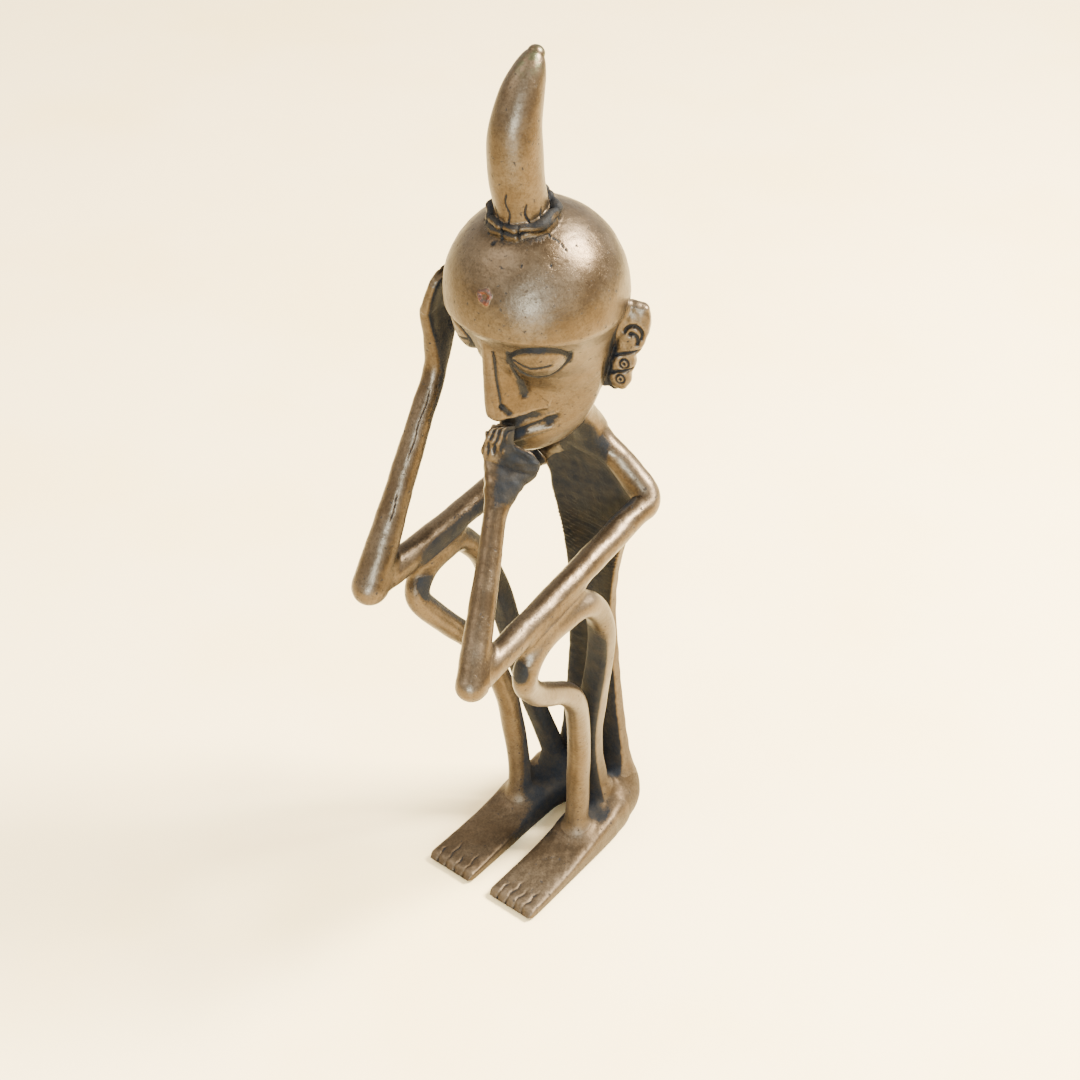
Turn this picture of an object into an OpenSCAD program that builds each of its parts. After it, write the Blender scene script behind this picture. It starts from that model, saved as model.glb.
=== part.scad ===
// Cast statuette of a squatting figure with a horned head.
// The figure faces -Y and stands on Z = 0. Its own left is +X.
// The piece was put together in wax from rolled rods, a plate and small
// pellets, and each of those pieces is one node here.

/* [Feet and seat] */
// Length of a foot, from the toes to its back face
foot_len = 50; // [42:1:60]
// Width of a foot across the toes
foot_w = 18; // [14:0.5:21]
// Clear gap between the two feet at the toes
foot_gap = 8; // [6:0.5:12]
// Thickness of a foot at the toes
toe_t = 3.8; // [3:0.2:5]
// Height of the instep, where the shin stands
instep_h = 7; // [6:0.5:9]
// Height of the seat block that joins the two legs
seat_h = 14; // [12:1:18]
// Depth of the seat block, front to back
seat_d = 18; // [16:1:22]

/* [Legs] */
// Radius of the rod that the knee and shin are bent from
leg_r = 3.9; // [3.2:0.1:4.6]
// Half width of the flat thigh bar, across the figure
thigh_half_w = 4.6; // [3.8:0.2:5.4]
// Half thickness of the flat thigh bar, front to back
thigh_half_t = 2.8; // [2.2:0.2:3.4]
// Height of the centre of the rod at the top of the knee
knee_h = 121; // [108:1:135]
// Distance of each knee's centre from the middle of the figure
knee_half = 24.6; // [21:0.2:28]
// How far the left knee's hook reaches in front of the thigh
left_reach = 29; // [24:1:34]
// How far the right knee's hook reaches in front of the thigh
right_reach = 23; // [20:1:28]
// Height of the left hook, from its top to the turn back to the shin
left_hook_h = 29; // [24:1:33]
// Height of the right hook, from its top to the turn back to the shin
right_hook_h = 23; // [20:1:30]

/* [Torso] */
// Thickness of the body plate at the waist
plate_t = 4.2; // [3.4:0.2:6]
// Half width of the body plate at the waist
waist_half = 8; // [7:0.1:10]
// Height of the shoulder bends
shoulder_h = 137; // [132:1:150]
// Distance of each shoulder bend from the middle
shoulder_half = 21; // [18:0.5:24]
// Height of the shoulder rod at the neck, above the shoulder bends
shoulder_rise = 20; // [14:1:24]
// Radius of the shoulder rod
yoke_r = 3.8; // [3.2:0.1:4.6]

/* [Arms] */
// Radius of an upper arm at the shoulder
arm_r = 4.1; // [3.4:0.1:4.8]
// Radius of the left elbow
left_elbow_r = 4.7; // [4.2:0.1:5.4]
// Radius of the right elbow
right_elbow_r = 5.5; // [4.8:0.1:6]
// Radius of a wrist
wrist_r = 3.4; // [3:0.1:4]
// Length of the left upper arm, shoulder bend to elbow
left_arm_len = 85; // [78:1:92]
// Length of the right upper arm, shoulder bend to elbow
right_arm_len = 73; // [66:1:80]
// How far the palms are across, front to back
palm_w = 18; // [15:0.5:21]
// Thickness of a palm
palm_t = 5; // [4:0.25:6]
// Radius of a finger
finger_r = 1.9; // [1.6:0.1:2.1]

/* [Head] */
// Diameter of the skull
skull_d = 52; // [46:1:58]
// Height from the chin to the skull's centre
chin_drop = 52; // [46:1:58]
// Thickness of the cast wall of the head
wall = 3; // [2:0.25:4]
// Radius of the copper pin that held the clay core
pin_r = 2.3; // [1.5:0.1:3]
// How far the copper pin runs in from the forehead
pin_len = 16; // [12:1:22]
// Height of an ear
ear_h = 30; // [25:1:35]
// How far an ear stands out from the skull
ear_reach = 9; // [7:0.5:11]

/* [Horn] */
// Height of the horn above the crown
horn_h = 46.5; // [38:0.5:54]
// Radius of the horn at its foot
horn_r = 7.8; // [7:0.1:9]
// Radius of the horn's root, in the hole in the crown
root_r = 5; // [4:0.25:6]
// Radius of the wax thread that the two collar rings are rolled from
collar_r = 1.3; // [1.1:0.1:1.8]

/* [Hidden] */

bronze = "#a08563";
dark_bronze = "#4a4440";
copper = "#9a5a40";
clay = "#8a6f5c";

sides = 16;    // facets round a rod
steps = 3;     // rings between two points of a rod's line
eps = 0.01;

// ---- places worked out from the sizes above, in the figure's own frame ----
toe_y = -45;
heel_y = toe_y + foot_len;
ankle = [foot_gap / 2 + foot_w / 2 + 0.5, -6, instep_h];
seat_half = foot_gap / 2 + foot_w - 3;
seat_back = heel_y + seat_d;
hip = [seat_half * 0.6, heel_y + 2.5, seat_h];
plate_y = heel_y + 8;                 // middle of the plate at the waist
crown_y = -15;                        // the skull's axis, in front of the plate
skull_r = skull_d / 2;
neck_foot = [0, plate_y - 4, shoulder_h + shoulder_rise];
chin_z = neck_foot[2] + 6.5;
skull_z = chin_z + chin_drop;
skull = [0, crown_y, skull_z];
knee_y = -20;                         // where the thigh turns over into the knee

// ---- small vector functions ----
function unit(v) = v / norm(v);
function part3(row) = [row[0], row[1], row[2]];

// A smooth line through rows of [x, y, z, half width, half thickness].
function between(a, b, c, d, t) =
    0.5 * ((2 * b) + (c - a) * t + (2 * a - 5 * b + 4 * c - d) * t * t
    + (3 * b - a - 3 * c + d) * t * t * t);
function smooth(rows) = [
    for (i = [0 : len(rows) - 2], k = [0 : steps - 1])
        between(rows[max(i - 1, 0)], rows[i], rows[i + 1],
                rows[min(i + 2, len(rows) - 1)], k / steps),
    rows[len(rows) - 1]
];
// Rings that close a rod's end with a half ball, beyond the given centre.
function dome(centre, along, r) = [
    for (a = [30, 55, 75]) concat(centre + along * r * sin(a), [r * cos(a), r * cos(a)])
];
function reversed(rows) = [for (i = [len(rows) - 1 : -1 : 0]) rows[i]];

function direction(rows, i) =
    unit(part3(rows[min(i + 1, len(rows) - 1)]) - part3(rows[max(i - 1, 0)]));
// The ring's first axis, carried along the line with no twist.
function carried(rows, i, u) =
    let (t = direction(rows, i), w = unit(u - (u * t) * t))
    i == len(rows) - 1 ? [w] : concat([w], carried(rows, i + 1, w));

// The points of a rod along rows first to last. Its rings are square to the whole
// line, so that two neighbours cut from one line share the ring between them.
function rod_points(rows, first, last, side = [1, 0, 0]) =
    let (u = carried(rows, 0, side))
    [for (i = [first : last])
        let (t = direction(rows, i), v = cross(t, u[i]))
        for (k = [0 : sides - 1])
            let (a = 360 * k / sides)
            part3(rows[i]) + rows[i][3] * cos(a) * u[i] + rows[i][4] * sin(a) * v];

module rod(rows, first, last, side = [1, 0, 0]) {
    points = rod_points(rows, first, last, side);
    rings = last - first;
    skin = [
        for (i = [0 : rings - 1], k = [0 : sides - 1])
            let (a = i * sides + k, b = i * sides + (k + 1) % sides)
            each [[a, a + sides, b + sides], [a, b + sides, b]]
    ];
    caps = [
        [for (k = [0 : sides - 1]) k],
        [for (k = [sides - 1 : -1 : 0]) rings * sides + k]
    ];
    polyhedron(points = points, faces = concat(skin, caps), convexity = 6);
}

// ---- legs ----
// Rows of one leg's rod: straight up from the seat, over the knee, round the
// hook and down the shin, ending straight down on the foot.
function leg_rows(reach, hook_h) = [
    concat(hip + [0, 0, 2], [thigh_half_w + 0.6, thigh_half_t + 0.6]),
    [hip[0] + 0.4, hip[1] - 1.5, seat_h + 10, thigh_half_w, thigh_half_t + 0.3],
    [hip[0] + 4, hip[1] - 9, knee_h * 0.43, thigh_half_w, thigh_half_t],
    [knee_half - 3, knee_y + 10, knee_h * 0.81, thigh_half_w - 0.2, thigh_half_t + 0.3],
    [knee_half, knee_y, knee_h - 2.5, leg_r, leg_r],
    [knee_half, knee_y - reach * 0.42, knee_h, leg_r, leg_r],
    [knee_half, knee_y - reach * 0.82, knee_h - 2.5, leg_r, leg_r],
    [knee_half - 0.8, knee_y - reach, knee_h - hook_h * 0.45, leg_r, leg_r],
    [knee_half - 3, knee_y - reach * 0.72, knee_h - hook_h, leg_r, leg_r],
    [knee_half - 6, knee_y - 1, knee_h * 0.64, leg_r, leg_r],
    [ankle[0] + 2.8, ankle[1] - 5, knee_h * 0.46, leg_r + 0.2, leg_r + 0.2],
    [ankle[0] + 0.5, ankle[1] - 0.5, knee_h * 0.21, leg_r + 0.5, leg_r + 0.5],
    concat(ankle + [0, 0, 2], [leg_r + 1, leg_r + 1])
];
function leg_line(reach, hook_h) = concat(
    [concat(hip, [thigh_half_w + 1, thigh_half_t + 0.8])],
    smooth(leg_rows(reach, hook_h)),
    [concat(ankle, [leg_r + 1.2, leg_r + 1.2])]);
left_leg = leg_line(left_reach, left_hook_h);
right_leg = leg_line(right_reach, right_hook_h);
thigh_end = 4 * steps + 1;
knee_end = 9 * steps + 1;
leg_end = len(left_leg) - 1;

// ---- arms: one rod over both shoulders ----
arm_lift = leg_r + arm_r - 0.7;       // an arm is pressed a little into the knee
left_shoulder = [shoulder_half, plate_y - 1, shoulder_h];
right_shoulder = [-shoulder_half, plate_y - 1, shoulder_h];
left_rest = [knee_half - 2.6, knee_y - left_reach * 0.6, knee_h + arm_lift - 1.5];
right_rest = [-knee_half - 0.6, knee_y - right_reach * 0.55, knee_h + arm_lift - 0.5];
left_along = unit(left_rest - left_shoulder);
right_along = unit(right_rest - right_shoulder);
left_elbow = left_shoulder + left_arm_len * left_along;
right_elbow = right_shoulder + right_arm_len * right_along;
bend_len = 8;                         // where the shoulder's bend ends and an arm begins

// Half of the rod over the shoulders, from an arm's end up to the neck.
function half_yoke(shoulder, along) =
    let (side = sign(shoulder[0]))
    concat(
        [concat(shoulder + along * bend_len, [arm_r, arm_r])],
        smooth([
            concat(shoulder + along * (bend_len - 1), [arm_r, arm_r]),
            concat(shoulder + along * 2 + [side * 0.4, 0, 0], [arm_r, arm_r]),
            concat(shoulder + [-side * 1.4, 0.4, 2.4], [arm_r, arm_r]),
            [side * shoulder_half * 0.6, plate_y - 1, shoulder_h + shoulder_rise * 0.43, yoke_r, yoke_r],
            [side * shoulder_half * 0.28, plate_y - 3, shoulder_h + shoulder_rise * 0.81, yoke_r, yoke_r],
            concat(neck_foot, [yoke_r, yoke_r])]));
yoke_left = half_yoke(left_shoulder, left_along);
yoke_right = half_yoke(right_shoulder, right_along);
yoke_line = concat(yoke_left, reversed([for (i = [0 : len(yoke_right) - 2]) yoke_right[i]]));

// Rings of an upper arm, from the end of the shoulder rod into the elbow.
function upper_arm(from, elbow, elbow_r) = [
    for (t = [0, 0.35, 0.7, 0.92, 1]) concat(from + (elbow - from) * t,
        let (r = arm_r + (elbow_r * 0.85 - arm_r) * t * t) [r, r])
];
left_arm_line = upper_arm(part3(yoke_line[0]), left_elbow, left_elbow_r);
right_arm_line = upper_arm(part3(yoke_line[len(yoke_line) - 1]), right_elbow, right_elbow_r);

// ---- hands ----
left_wrist = [6, crown_y - 25, chin_z - 6];
right_wrist = [-skull_r - 4.5, crown_y - 8.5, skull_z - 33];
left_palm = [4.6, crown_y - 17.4, chin_z + 5];
right_palm = [-skull_r - 4, crown_y - 6.5, skull_z - 13];
left_spread = unit([0.8, 0.6, 0]);    // the way each palm is spread
right_spread = unit([-0.1, 1, 0]);
left_fingers = unit([0.1, 0.12, 1]);  // the way its fingers point
right_fingers = unit([0.3, 0.05, 1]);

// Rings of a palm: a flat paddle that spreads from the wrist.
function palm_rows(wrist, along, palm, fingers) = [
    concat(wrist, [wrist_r, wrist_r]),
    concat(wrist + along * 0.6, [wrist_r, wrist_r]),
    concat(wrist + (palm - wrist) * 0.45, [palm_w * 0.28, palm_t / 2 + 0.2]),
    concat(palm - fingers * 3, [palm_w * 0.46, palm_t / 2]),
    concat(palm + fingers * 2, [palm_w * 0.49, palm_t / 2]),
    concat(palm + fingers * 4, [palm_w * 0.46, palm_t / 2 - 0.4])
];
left_palm_line = palm_rows(left_wrist, unit(left_wrist - left_elbow), left_palm, left_fingers);
right_palm_line = palm_rows(right_wrist, unit(right_wrist - right_elbow), right_palm, right_fingers);

// Rings of a forearm, from the rounded elbow to the wrist.
function forearm(elbow, elbow_r, wrist) =
    let (along = unit(wrist - elbow))
    concat(
        reversed(dome(elbow, -along, elbow_r)),
        [for (t = [0, 0.12, 0.35, 0.7, 1]) concat(elbow + (wrist - elbow) * t,
            let (r = wrist_r + (elbow_r - wrist_r) * pow(1 - t, 1.6)) [r, r])]);
left_forearm_line = forearm(left_elbow, left_elbow_r, left_wrist);
right_forearm_line = forearm(right_elbow, right_elbow_r, right_wrist);

// ---- the whole figure is moved so that its box is centred on the origin ----
ear_out = skull_r - 5 + ear_reach;
right_points = concat(
    rod_points(right_forearm_line, 0, len(right_forearm_line) - 1),
    rod_points(right_palm_line, 0, len(right_palm_line) - 1, right_spread));
left_points = rod_points(left_forearm_line, 0, len(left_forearm_line) - 1);
box_left = min([for (p = right_points) p[0]]);
box_front = min([for (p = concat(left_points, right_points)) p[1]]);
box_mid_x = (ear_out + box_left) / 2;
box_mid_y = (seat_back + box_front) / 2;
module placed() translate([-box_mid_x, -box_mid_y, 0]) children();

module mirrored(side) mirror([side < 0 ? 1 : 0, 0, 0]) children();

// ---- seat and feet ----
// Plan of the seat block: square in front, a rounded corner at each side behind.
function seat_plan() = concat(
    [[-seat_half, heel_y], [seat_half, heel_y]],
    [for (a = [0 : 7.5 : 180])
        let (c = cos(a), s = sin(a))
        [seat_half * sign(c) * pow(abs(c), 0.75), heel_y + seat_d * pow(s, 0.75)]]);

module seat() color(dark_bronze) placed()
    difference() {
        linear_extrude(seat_h) polygon(seat_plan());
        // the arch under the block, open to the front between the feet
        translate([0, heel_y - eps, 0]) rotate([-90, 0, 0]) cylinder(r = foot_gap / 2, h = seat_d * 0.5, $fn = 32);
    }

// Side of a foot as [y, z]: the sole, the rounded toes and the rising instep.
function foot_side() = concat(
    [[heel_y, 0], [heel_y, instep_h], [ankle[1] - leg_r - 4, instep_h]],
    [for (a = [90 : 15 : 270])
        [toe_y + toe_t / 2 + cos(a) * toe_t / 2, toe_t / 2 + sin(a) * toe_t / 2]]);

module foot(side) color(bronze) placed() mirrored(side)
    difference() {
        intersection() {
            translate([foot_gap / 2, 0, 0]) rotate([90, 0, 90])
                linear_extrude(foot_w) polygon(foot_side());
            linear_extrude(instep_h * 2) polygon([
                [foot_gap / 2 - 1, heel_y], [foot_gap / 2, toe_y - 1],
                [foot_gap / 2 + foot_w, toe_y - 1], [seat_half, heel_y]]);
        }
        // four grooves part the five toes
        for (i = [1 : 4])
            translate([foot_gap / 2 + foot_w * i / 5, toe_y - 1, toe_t + 0.1])
                rotate([-90, 0, 0]) cylinder(r = 0.7, h = 8, $fn = 24);
    }

// One stretch of a leg's rod, on its own side of the figure.
module leg_part(side, first, last) mirrored(side)
    rod(side > 0 ? left_leg : right_leg, first, last);
module thigh(side) color(dark_bronze) placed() leg_part(side, 0, thigh_end);
module knee(side) color(bronze) placed() leg_part(side, thigh_end, knee_end);
module shin(side) color(bronze) placed() leg_part(side, knee_end, leg_end);

// ---- torso ----
// Sections of the plate as [height, half width, front y, back y].
plate_rows = [
    [seat_h, waist_half + 5.5, plate_y - 1, seat_back - 2],
    [seat_h + 14, waist_half + 2.8, plate_y, seat_back - 3.8],
    [shoulder_h * 0.38, waist_half + 0.9, plate_y, plate_y + plate_t],
    [shoulder_h * 0.62, waist_half, plate_y - 2, plate_y - 2 + plate_t],
    [shoulder_h * 0.76, waist_half + 0.8, plate_y - 3, plate_y - 3 + plate_t],
    [shoulder_h * 0.93, shoulder_half - 6, plate_y - 3, plate_y - 3 + plate_t],
    [shoulder_h, shoulder_half - 3.5, plate_y - 3, plate_y - 3 + plate_t],
    [shoulder_h + shoulder_rise - 1, 3, plate_y - 6, plate_y - 6 + plate_t]
];
module torso_plate() color(dark_bronze) placed()
    difference() {
        polyhedron(
            points = [for (r = plate_rows) each [
                [-r[1], r[2], r[0]], [r[1], r[2], r[0]], [r[1], r[3], r[0]], [-r[1], r[3], r[0]]]],
            faces = concat(
                [[0, 1, 2, 3], [for (k = [3 : -1 : 0]) 4 * (len(plate_rows) - 1) + k]],
                [for (i = [0 : len(plate_rows) - 2], k = [0 : 3])
                    let (a = 4 * i + k, b = 4 * i + (k + 1) % 4)
                    each [[a, a + 4, b + 4], [a, b + 4, b]]]));
        yoke_rod();
    }

module yoke_rod() rod(yoke_line, 0, len(yoke_line) - 1, [0, 0, 1]);
module shoulder_yoke() color(bronze) placed() yoke_rod();

// The neck leans forward from the shoulder rod to the back of the jaw.
neck_top = [0, crown_y + 10, skull_z - 34];
neck_line = [for (t = [0, 0.5, 1]) concat(
    neck_foot + (neck_top - neck_foot) * t, [6.5 - 2 * t * (1 - t), 6 - 2 * t * (1 - t)])];
module neck() color(bronze) placed()
    difference() {
        rod(neck_line, 0, 2);
        yoke_rod();
        head_form(0);
    }

// ---- arms and hands ----
module left_forearm_rod() rod(left_forearm_line, 0, len(left_forearm_line) - 1);
module right_forearm_rod() rod(right_forearm_line, 0, len(right_forearm_line) - 1);

module left_upper_arm() color(bronze) placed()
    difference() {
        rod(left_arm_line, 0, len(left_arm_line) - 1, [0, 0, 1]);
        left_forearm_rod();
        leg_part(1, thigh_end, knee_end);
    }
module right_upper_arm() color(bronze) placed()
    difference() {
        rod(right_arm_line, 0, len(right_arm_line) - 1, [0, 0, 1]);
        right_forearm_rod();
        leg_part(-1, thigh_end, knee_end);
    }
module left_forearm() color(bronze) placed() left_forearm_rod();
module right_forearm() color(bronze) placed() right_forearm_rod();

// Four fingers stand on top of each palm.
module hand(palm_line, palm, spread, fingers, finger_len) {
    union() {
        rod(palm_line, 0, len(palm_line) - 1, spread);
        for (i = [0 : 3]) {
            foot = palm + spread * (i - 1.5) * palm_w * 0.235 + fingers;
            tip = foot + fingers * (finger_len - (abs(i - 1.5) > 1 ? 1.5 : 0) - finger_r);
            rod(concat([for (p = [foot, tip]) concat(p, [finger_r, finger_r])],
                dome(tip, fingers, finger_r)), 0, 4);
        }
    }
}
module left_hand_form() hand(left_palm_line, left_palm, left_spread, left_fingers, 11);
module left_hand() color(bronze) placed()
    difference() {
        left_hand_form();
        head_form(0);
        nose_form();
    }
module right_hand() color(dark_bronze) placed()
    difference() {
        hand(right_palm_line, right_palm, right_spread, right_fingers, 13);
        head_form(0);
    }

// ---- head ----
// The skull is a ball above the brow. Sections of the face below it, top first, are
// [height above the skull's centre, half width, y of the widest place, front y,
// back y, power of the front's curve]. Power 2 is a round front, 1 a sharp wedge.
brow_angle = -17;
face_drop = chin_drop - skull_r * 0.35;
function head_rows(inset) = concat(
    [for (f = [[3, 0.97], [0, 1]])
        let (r = (skull_r - inset) * cos(brow_angle) * f[1])
        [(skull_r - inset) * sin(brow_angle) + f[0], r, crown_y, crown_y - r, crown_y + r, 2]],
    [for (f = [
        [0.10, 0.835, 2, 19.6, 22, 1.7],
        [0.22, 0.785, 4, 18, 19, 1.4],
        [0.42, 0.715, 5.5, 15.8, 16, 1.25],
        [0.62, 0.6, 6, 14, 13, 1.3],
        [0.80, 0.47, 5, 12.4, 10.5, 1.5],
        [0.94, 0.3, 3, 9.5, 8, 1.8],
        [0.995, 0.14, 0, 5, 5, 2]])
        [inset * f[0] - skull_r * 0.35 - face_drop * f[0], skull_r * f[1] - inset * (1.1 - 0.3 * f[0]),
            crown_y + f[2], crown_y - f[3] + inset, crown_y + f[4] - inset, f[5]]]);
// One section's points, with a wedge-like front and a round back.
function head_ring(r) = [
    for (k = [0 : head_sides - 1])
        let (a = 360 * k / head_sides, p = 2 / (a > 180 ? r[5] : 2), c = cos(a), s = sin(a))
        [sign(c) * r[1] * pow(abs(c), p),
            r[2] + (a > 180 ? -(r[2] - r[3]) : r[4] - r[2]) * pow(abs(s), p), r[0] + skull_z]
];
head_sides = 32;
module head_form(inset) {
    rows = head_rows(inset);
    n = head_sides;
    translate(skull) intersection() {
        sphere(r = skull_r - inset, $fn = 64);
        translate([-skull_r, -skull_r, rows[1][0]]) cube(2 * skull_r);
    }
    polyhedron(
        points = [for (r = rows) each head_ring(r)],
        faces = concat(
            [[for (k = [n - 1 : -1 : 0]) k], [for (k = [0 : n - 1]) (len(rows) - 1) * n + k]],
            [for (i = [0 : len(rows) - 2], k = [0 : n - 1])
                let (a = i * n + k, b = i * n + (k + 1) % n)
                each [[a, b, b + n], [a, b + n, a + n]]]),
        convexity = 4);
}

spot_tilt = 20;                        // the pin points up from level by this angle
spot_turn = 5;                         // and to the figure's left by this one
module pin_hole(r, from, to) translate(skull) rotate([90 - spot_tilt, 0, spot_turn])
    translate([0, 0, from]) cylinder(r = r, h = to - from, $fn = 48);
horn_tilt = 13;                        // the horn's axis leans forward by this angle
module on_crown() translate(skull) rotate([horn_tilt, 0, 0]) children();
module crown_hole(r, from, to) on_crown()
    translate([0, 0, from]) cylinder(r = r, h = to - from, $fn = 48);

module head_shell() color(bronze) placed()
    difference() {
        head_form(0);
        head_form(wall);
        pin_hole(pin_r, skull_r - pin_len, skull_r + 5);
        crown_hole(root_r, skull_r - wall - 4, skull_r + 5);
    }
module head_core() color(clay) placed()
    difference() {
        head_form(wall);
        pin_hole(pin_r, skull_r - pin_len, skull_r + 5);
    }
module core_pin() color(copper) placed() pin_hole(pin_r, skull_r - pin_len, skull_r + 0.4);

// An ear is a small plate that faces forward, with three rolled coils on it.
coil_r = ear_h / 6;
module ear(side) color(bronze) placed() mirrored(side)
    difference() {
        translate([skull_r - 5, crown_y + 8, skull_z - 15])
            union() {
                translate([-5, 1, -ear_h / 2 + 2]) cube([8, 3, ear_h - 4]);
                for (i = [0 : 2])
                    translate([ear_reach - coil_r - (2 - i) * 1.2, 4, (i - 1) * (ear_h / 2 - coil_r)])
                        rotate([90, 0, 0]) difference() {
                            cylinder(r = coil_r, h = 5, $fn = 48);
                            translate([0, 0, 4]) difference() {
                                cylinder(r = coil_r - 1.3, h = 2, $fn = 48);
                                cylinder(r = coil_r - 2.6, h = 2, $fn = 48);
                            }
                        }
            }
        head_form(0);
    }

// An eye is an almond pellet pressed on the slanting side of the face.
module eye(side) color(bronze) placed() mirrored(side)
    difference() {
        translate(skull + [12.8, -13, -12]) rotate([0, 0, 41])
            hull() {
                sphere(r = 3.2, $fn = 24);
                for (s = [-1, 1]) translate([s * 6.8, 0, 0.8]) sphere(r = 1.2, $fn = 16);
            }
        head_form(0);
    }

// The nose is a long wedge from the brow to the tip.
module nose_form() translate(skull)
    hull() {
        translate([0, -20.2, -9]) sphere(r = 1.6, $fn = 20);
        translate([0, -17.6, -32]) sphere(r = 2.2, $fn = 20);
        for (s = [-1, 1]) translate([s * 3, -14, -31.5]) sphere(r = 1.7, $fn = 16);
    }
module nose() color(bronze) placed()
    difference() {
        nose_form();
        head_form(0);
    }

// The mouth is two rolls of wax, each bent round the front of the jaw.
module lip(z, r, corner_rise)
    for (s = [-1, 1]) translate(skull)
        hull() {
            translate([0, -13.4, z]) sphere(r = r, $fn = 20);
            translate([s * 9.5, -4.6, z + corner_rise]) sphere(r = r * 0.6, $fn = 16);
        }
module mouth() color(bronze) placed()
    difference() {
        union() {
            lip(-39.5, 2.2, 4.5);
            lip(-43.3, 2, 4);
        }
        head_form(0);
        left_hand_form();
    }

// ---- horn and its collar ----
collar_press = 0.4;                    // how far the lower ring is pressed on the skull
lower_z = sqrt(pow(skull_r + collar_r - collar_press, 2) - pow(horn_r + collar_r, 2));
upper_z = lower_z + 1.9 * collar_r;
module ring(z, r) on_crown() translate([0, 0, z])
    rotate_extrude($fn = 64) translate([r + collar_r, 0]) circle(r = collar_r, $fn = 32);
module lower_collar() color(dark_bronze) placed()
    difference() {
        ring(lower_z, horn_r);
        translate(skull) sphere(r = skull_r, $fn = 64);
        ring(upper_z, horn_r);
    }
module upper_collar() color(dark_bronze) placed() ring(upper_z, horn_r);

horn_axis = [0, -sin(horn_tilt), cos(horn_tilt)];
horn_foot = skull + horn_axis * (skull_r - 1.6);
horn_rows = [
    concat(horn_foot, [horn_r, horn_r]),
    concat(horn_foot + horn_axis * horn_h * 0.12, [horn_r - 0.3, horn_r - 0.3]),
    concat(horn_foot + [0, -3.4, horn_h * 0.37], [horn_r - 0.3, horn_r - 0.2]),
    concat(horn_foot + [0, -3.7, horn_h * 0.57], [horn_r - 0.8, horn_r - 0.8]),
    concat(horn_foot + [0, -1.3, horn_h * 0.77], [horn_r * 0.74, horn_r * 0.74]),
    concat(horn_foot + [0, 2.5, horn_h * 0.93], [horn_r * 0.48, horn_r * 0.48]),
    concat(horn_foot + [0, 4.5, horn_h * 0.99], [horn_r * 0.3, horn_r * 0.3]),
    concat(horn_foot + [0, 5.5, horn_h * 0.99 + 2.4], [0.8, 0.8])
];
horn_line = smooth(horn_rows);
module horn() color(bronze) placed()
    difference() {
        union() {
            rod(horn_line, 0, len(horn_line) - 1);
            crown_hole(root_r, skull_r - wall - 0.6, skull_r);
        }
        translate(skull) difference() {
            sphere(r = skull_r, $fn = 64);
            rotate([horn_tilt, 0, 0]) cylinder(r = root_r, h = skull_r + 1, $fn = 48);
        }
        translate(skull) sphere(r = skull_r - wall, $fn = 64);
    }

seat();
torso_plate();
shoulder_yoke();
neck();
foot(1);  // left_foot
shin(1);  // left_shin
knee(1);  // left_knee
thigh(1);  // left_thigh
foot(-1);  // right_foot
shin(-1);  // right_shin
knee(-1);  // right_knee
thigh(-1);  // right_thigh
left_upper_arm();
left_forearm();
left_hand();
right_upper_arm();
right_forearm();
right_hand();
head_shell();
head_core();
core_pin();
ear(1);  // left_ear
ear(-1);  // right_ear
eye(1);  // left_eye
eye(-1);  // right_eye
nose();
mouth();
lower_collar();
upper_collar();
horn();
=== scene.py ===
import math

import bpy
import numpy as np
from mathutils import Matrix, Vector


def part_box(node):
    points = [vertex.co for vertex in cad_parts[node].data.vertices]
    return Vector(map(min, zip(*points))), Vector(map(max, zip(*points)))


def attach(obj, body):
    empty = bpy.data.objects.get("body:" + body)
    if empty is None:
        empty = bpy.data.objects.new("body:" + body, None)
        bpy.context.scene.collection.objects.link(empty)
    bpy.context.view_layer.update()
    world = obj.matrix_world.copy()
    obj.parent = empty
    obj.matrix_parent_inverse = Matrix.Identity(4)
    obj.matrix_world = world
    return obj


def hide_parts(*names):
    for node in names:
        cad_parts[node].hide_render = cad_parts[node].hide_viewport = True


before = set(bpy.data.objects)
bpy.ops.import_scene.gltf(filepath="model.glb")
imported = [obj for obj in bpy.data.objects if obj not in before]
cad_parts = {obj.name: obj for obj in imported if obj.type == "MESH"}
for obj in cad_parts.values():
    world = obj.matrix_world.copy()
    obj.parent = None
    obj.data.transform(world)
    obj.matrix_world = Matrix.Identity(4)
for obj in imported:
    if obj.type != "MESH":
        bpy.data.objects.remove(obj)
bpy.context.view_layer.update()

# ----------------------------------------
# Legs: one rod a side. It rises from the seat as a flat bar, turns over the
# knee, hooks back under itself and comes down to the foot as a round shin.
# Rolled in wax and bent by hand, so its thickness wavers a little.

left_toe = np.array(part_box("left_foot")[0]) * 1000.0
FOOT_GAP_HALF = 4.0                       # mm, from the middle plane to a foot
TOE_FRONT = -45.0                         # mm, the toes in front of the ankles' line
figure_origin = np.array([left_toe[0] - FOOT_GAP_HALF, left_toe[1] - TOE_FRONT, 0.0])
RING_STEP = 0.55                          # mm between the rings of a rod


def unit(v):
    """A vector, or rows of vectors, scaled to length one."""
    v = np.asarray(v, float)
    return v / np.maximum(np.linalg.norm(v, axis=-1, keepdims=True), 1e-9)


def ramp(x, low, high):
    """0 below low, 1 above high and a smooth S between them."""
    t = np.clip((np.asarray(x, float) - low) / (high - low), 0.0, 1.0)
    return t * t * (3.0 - 2.0 * t)


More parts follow.
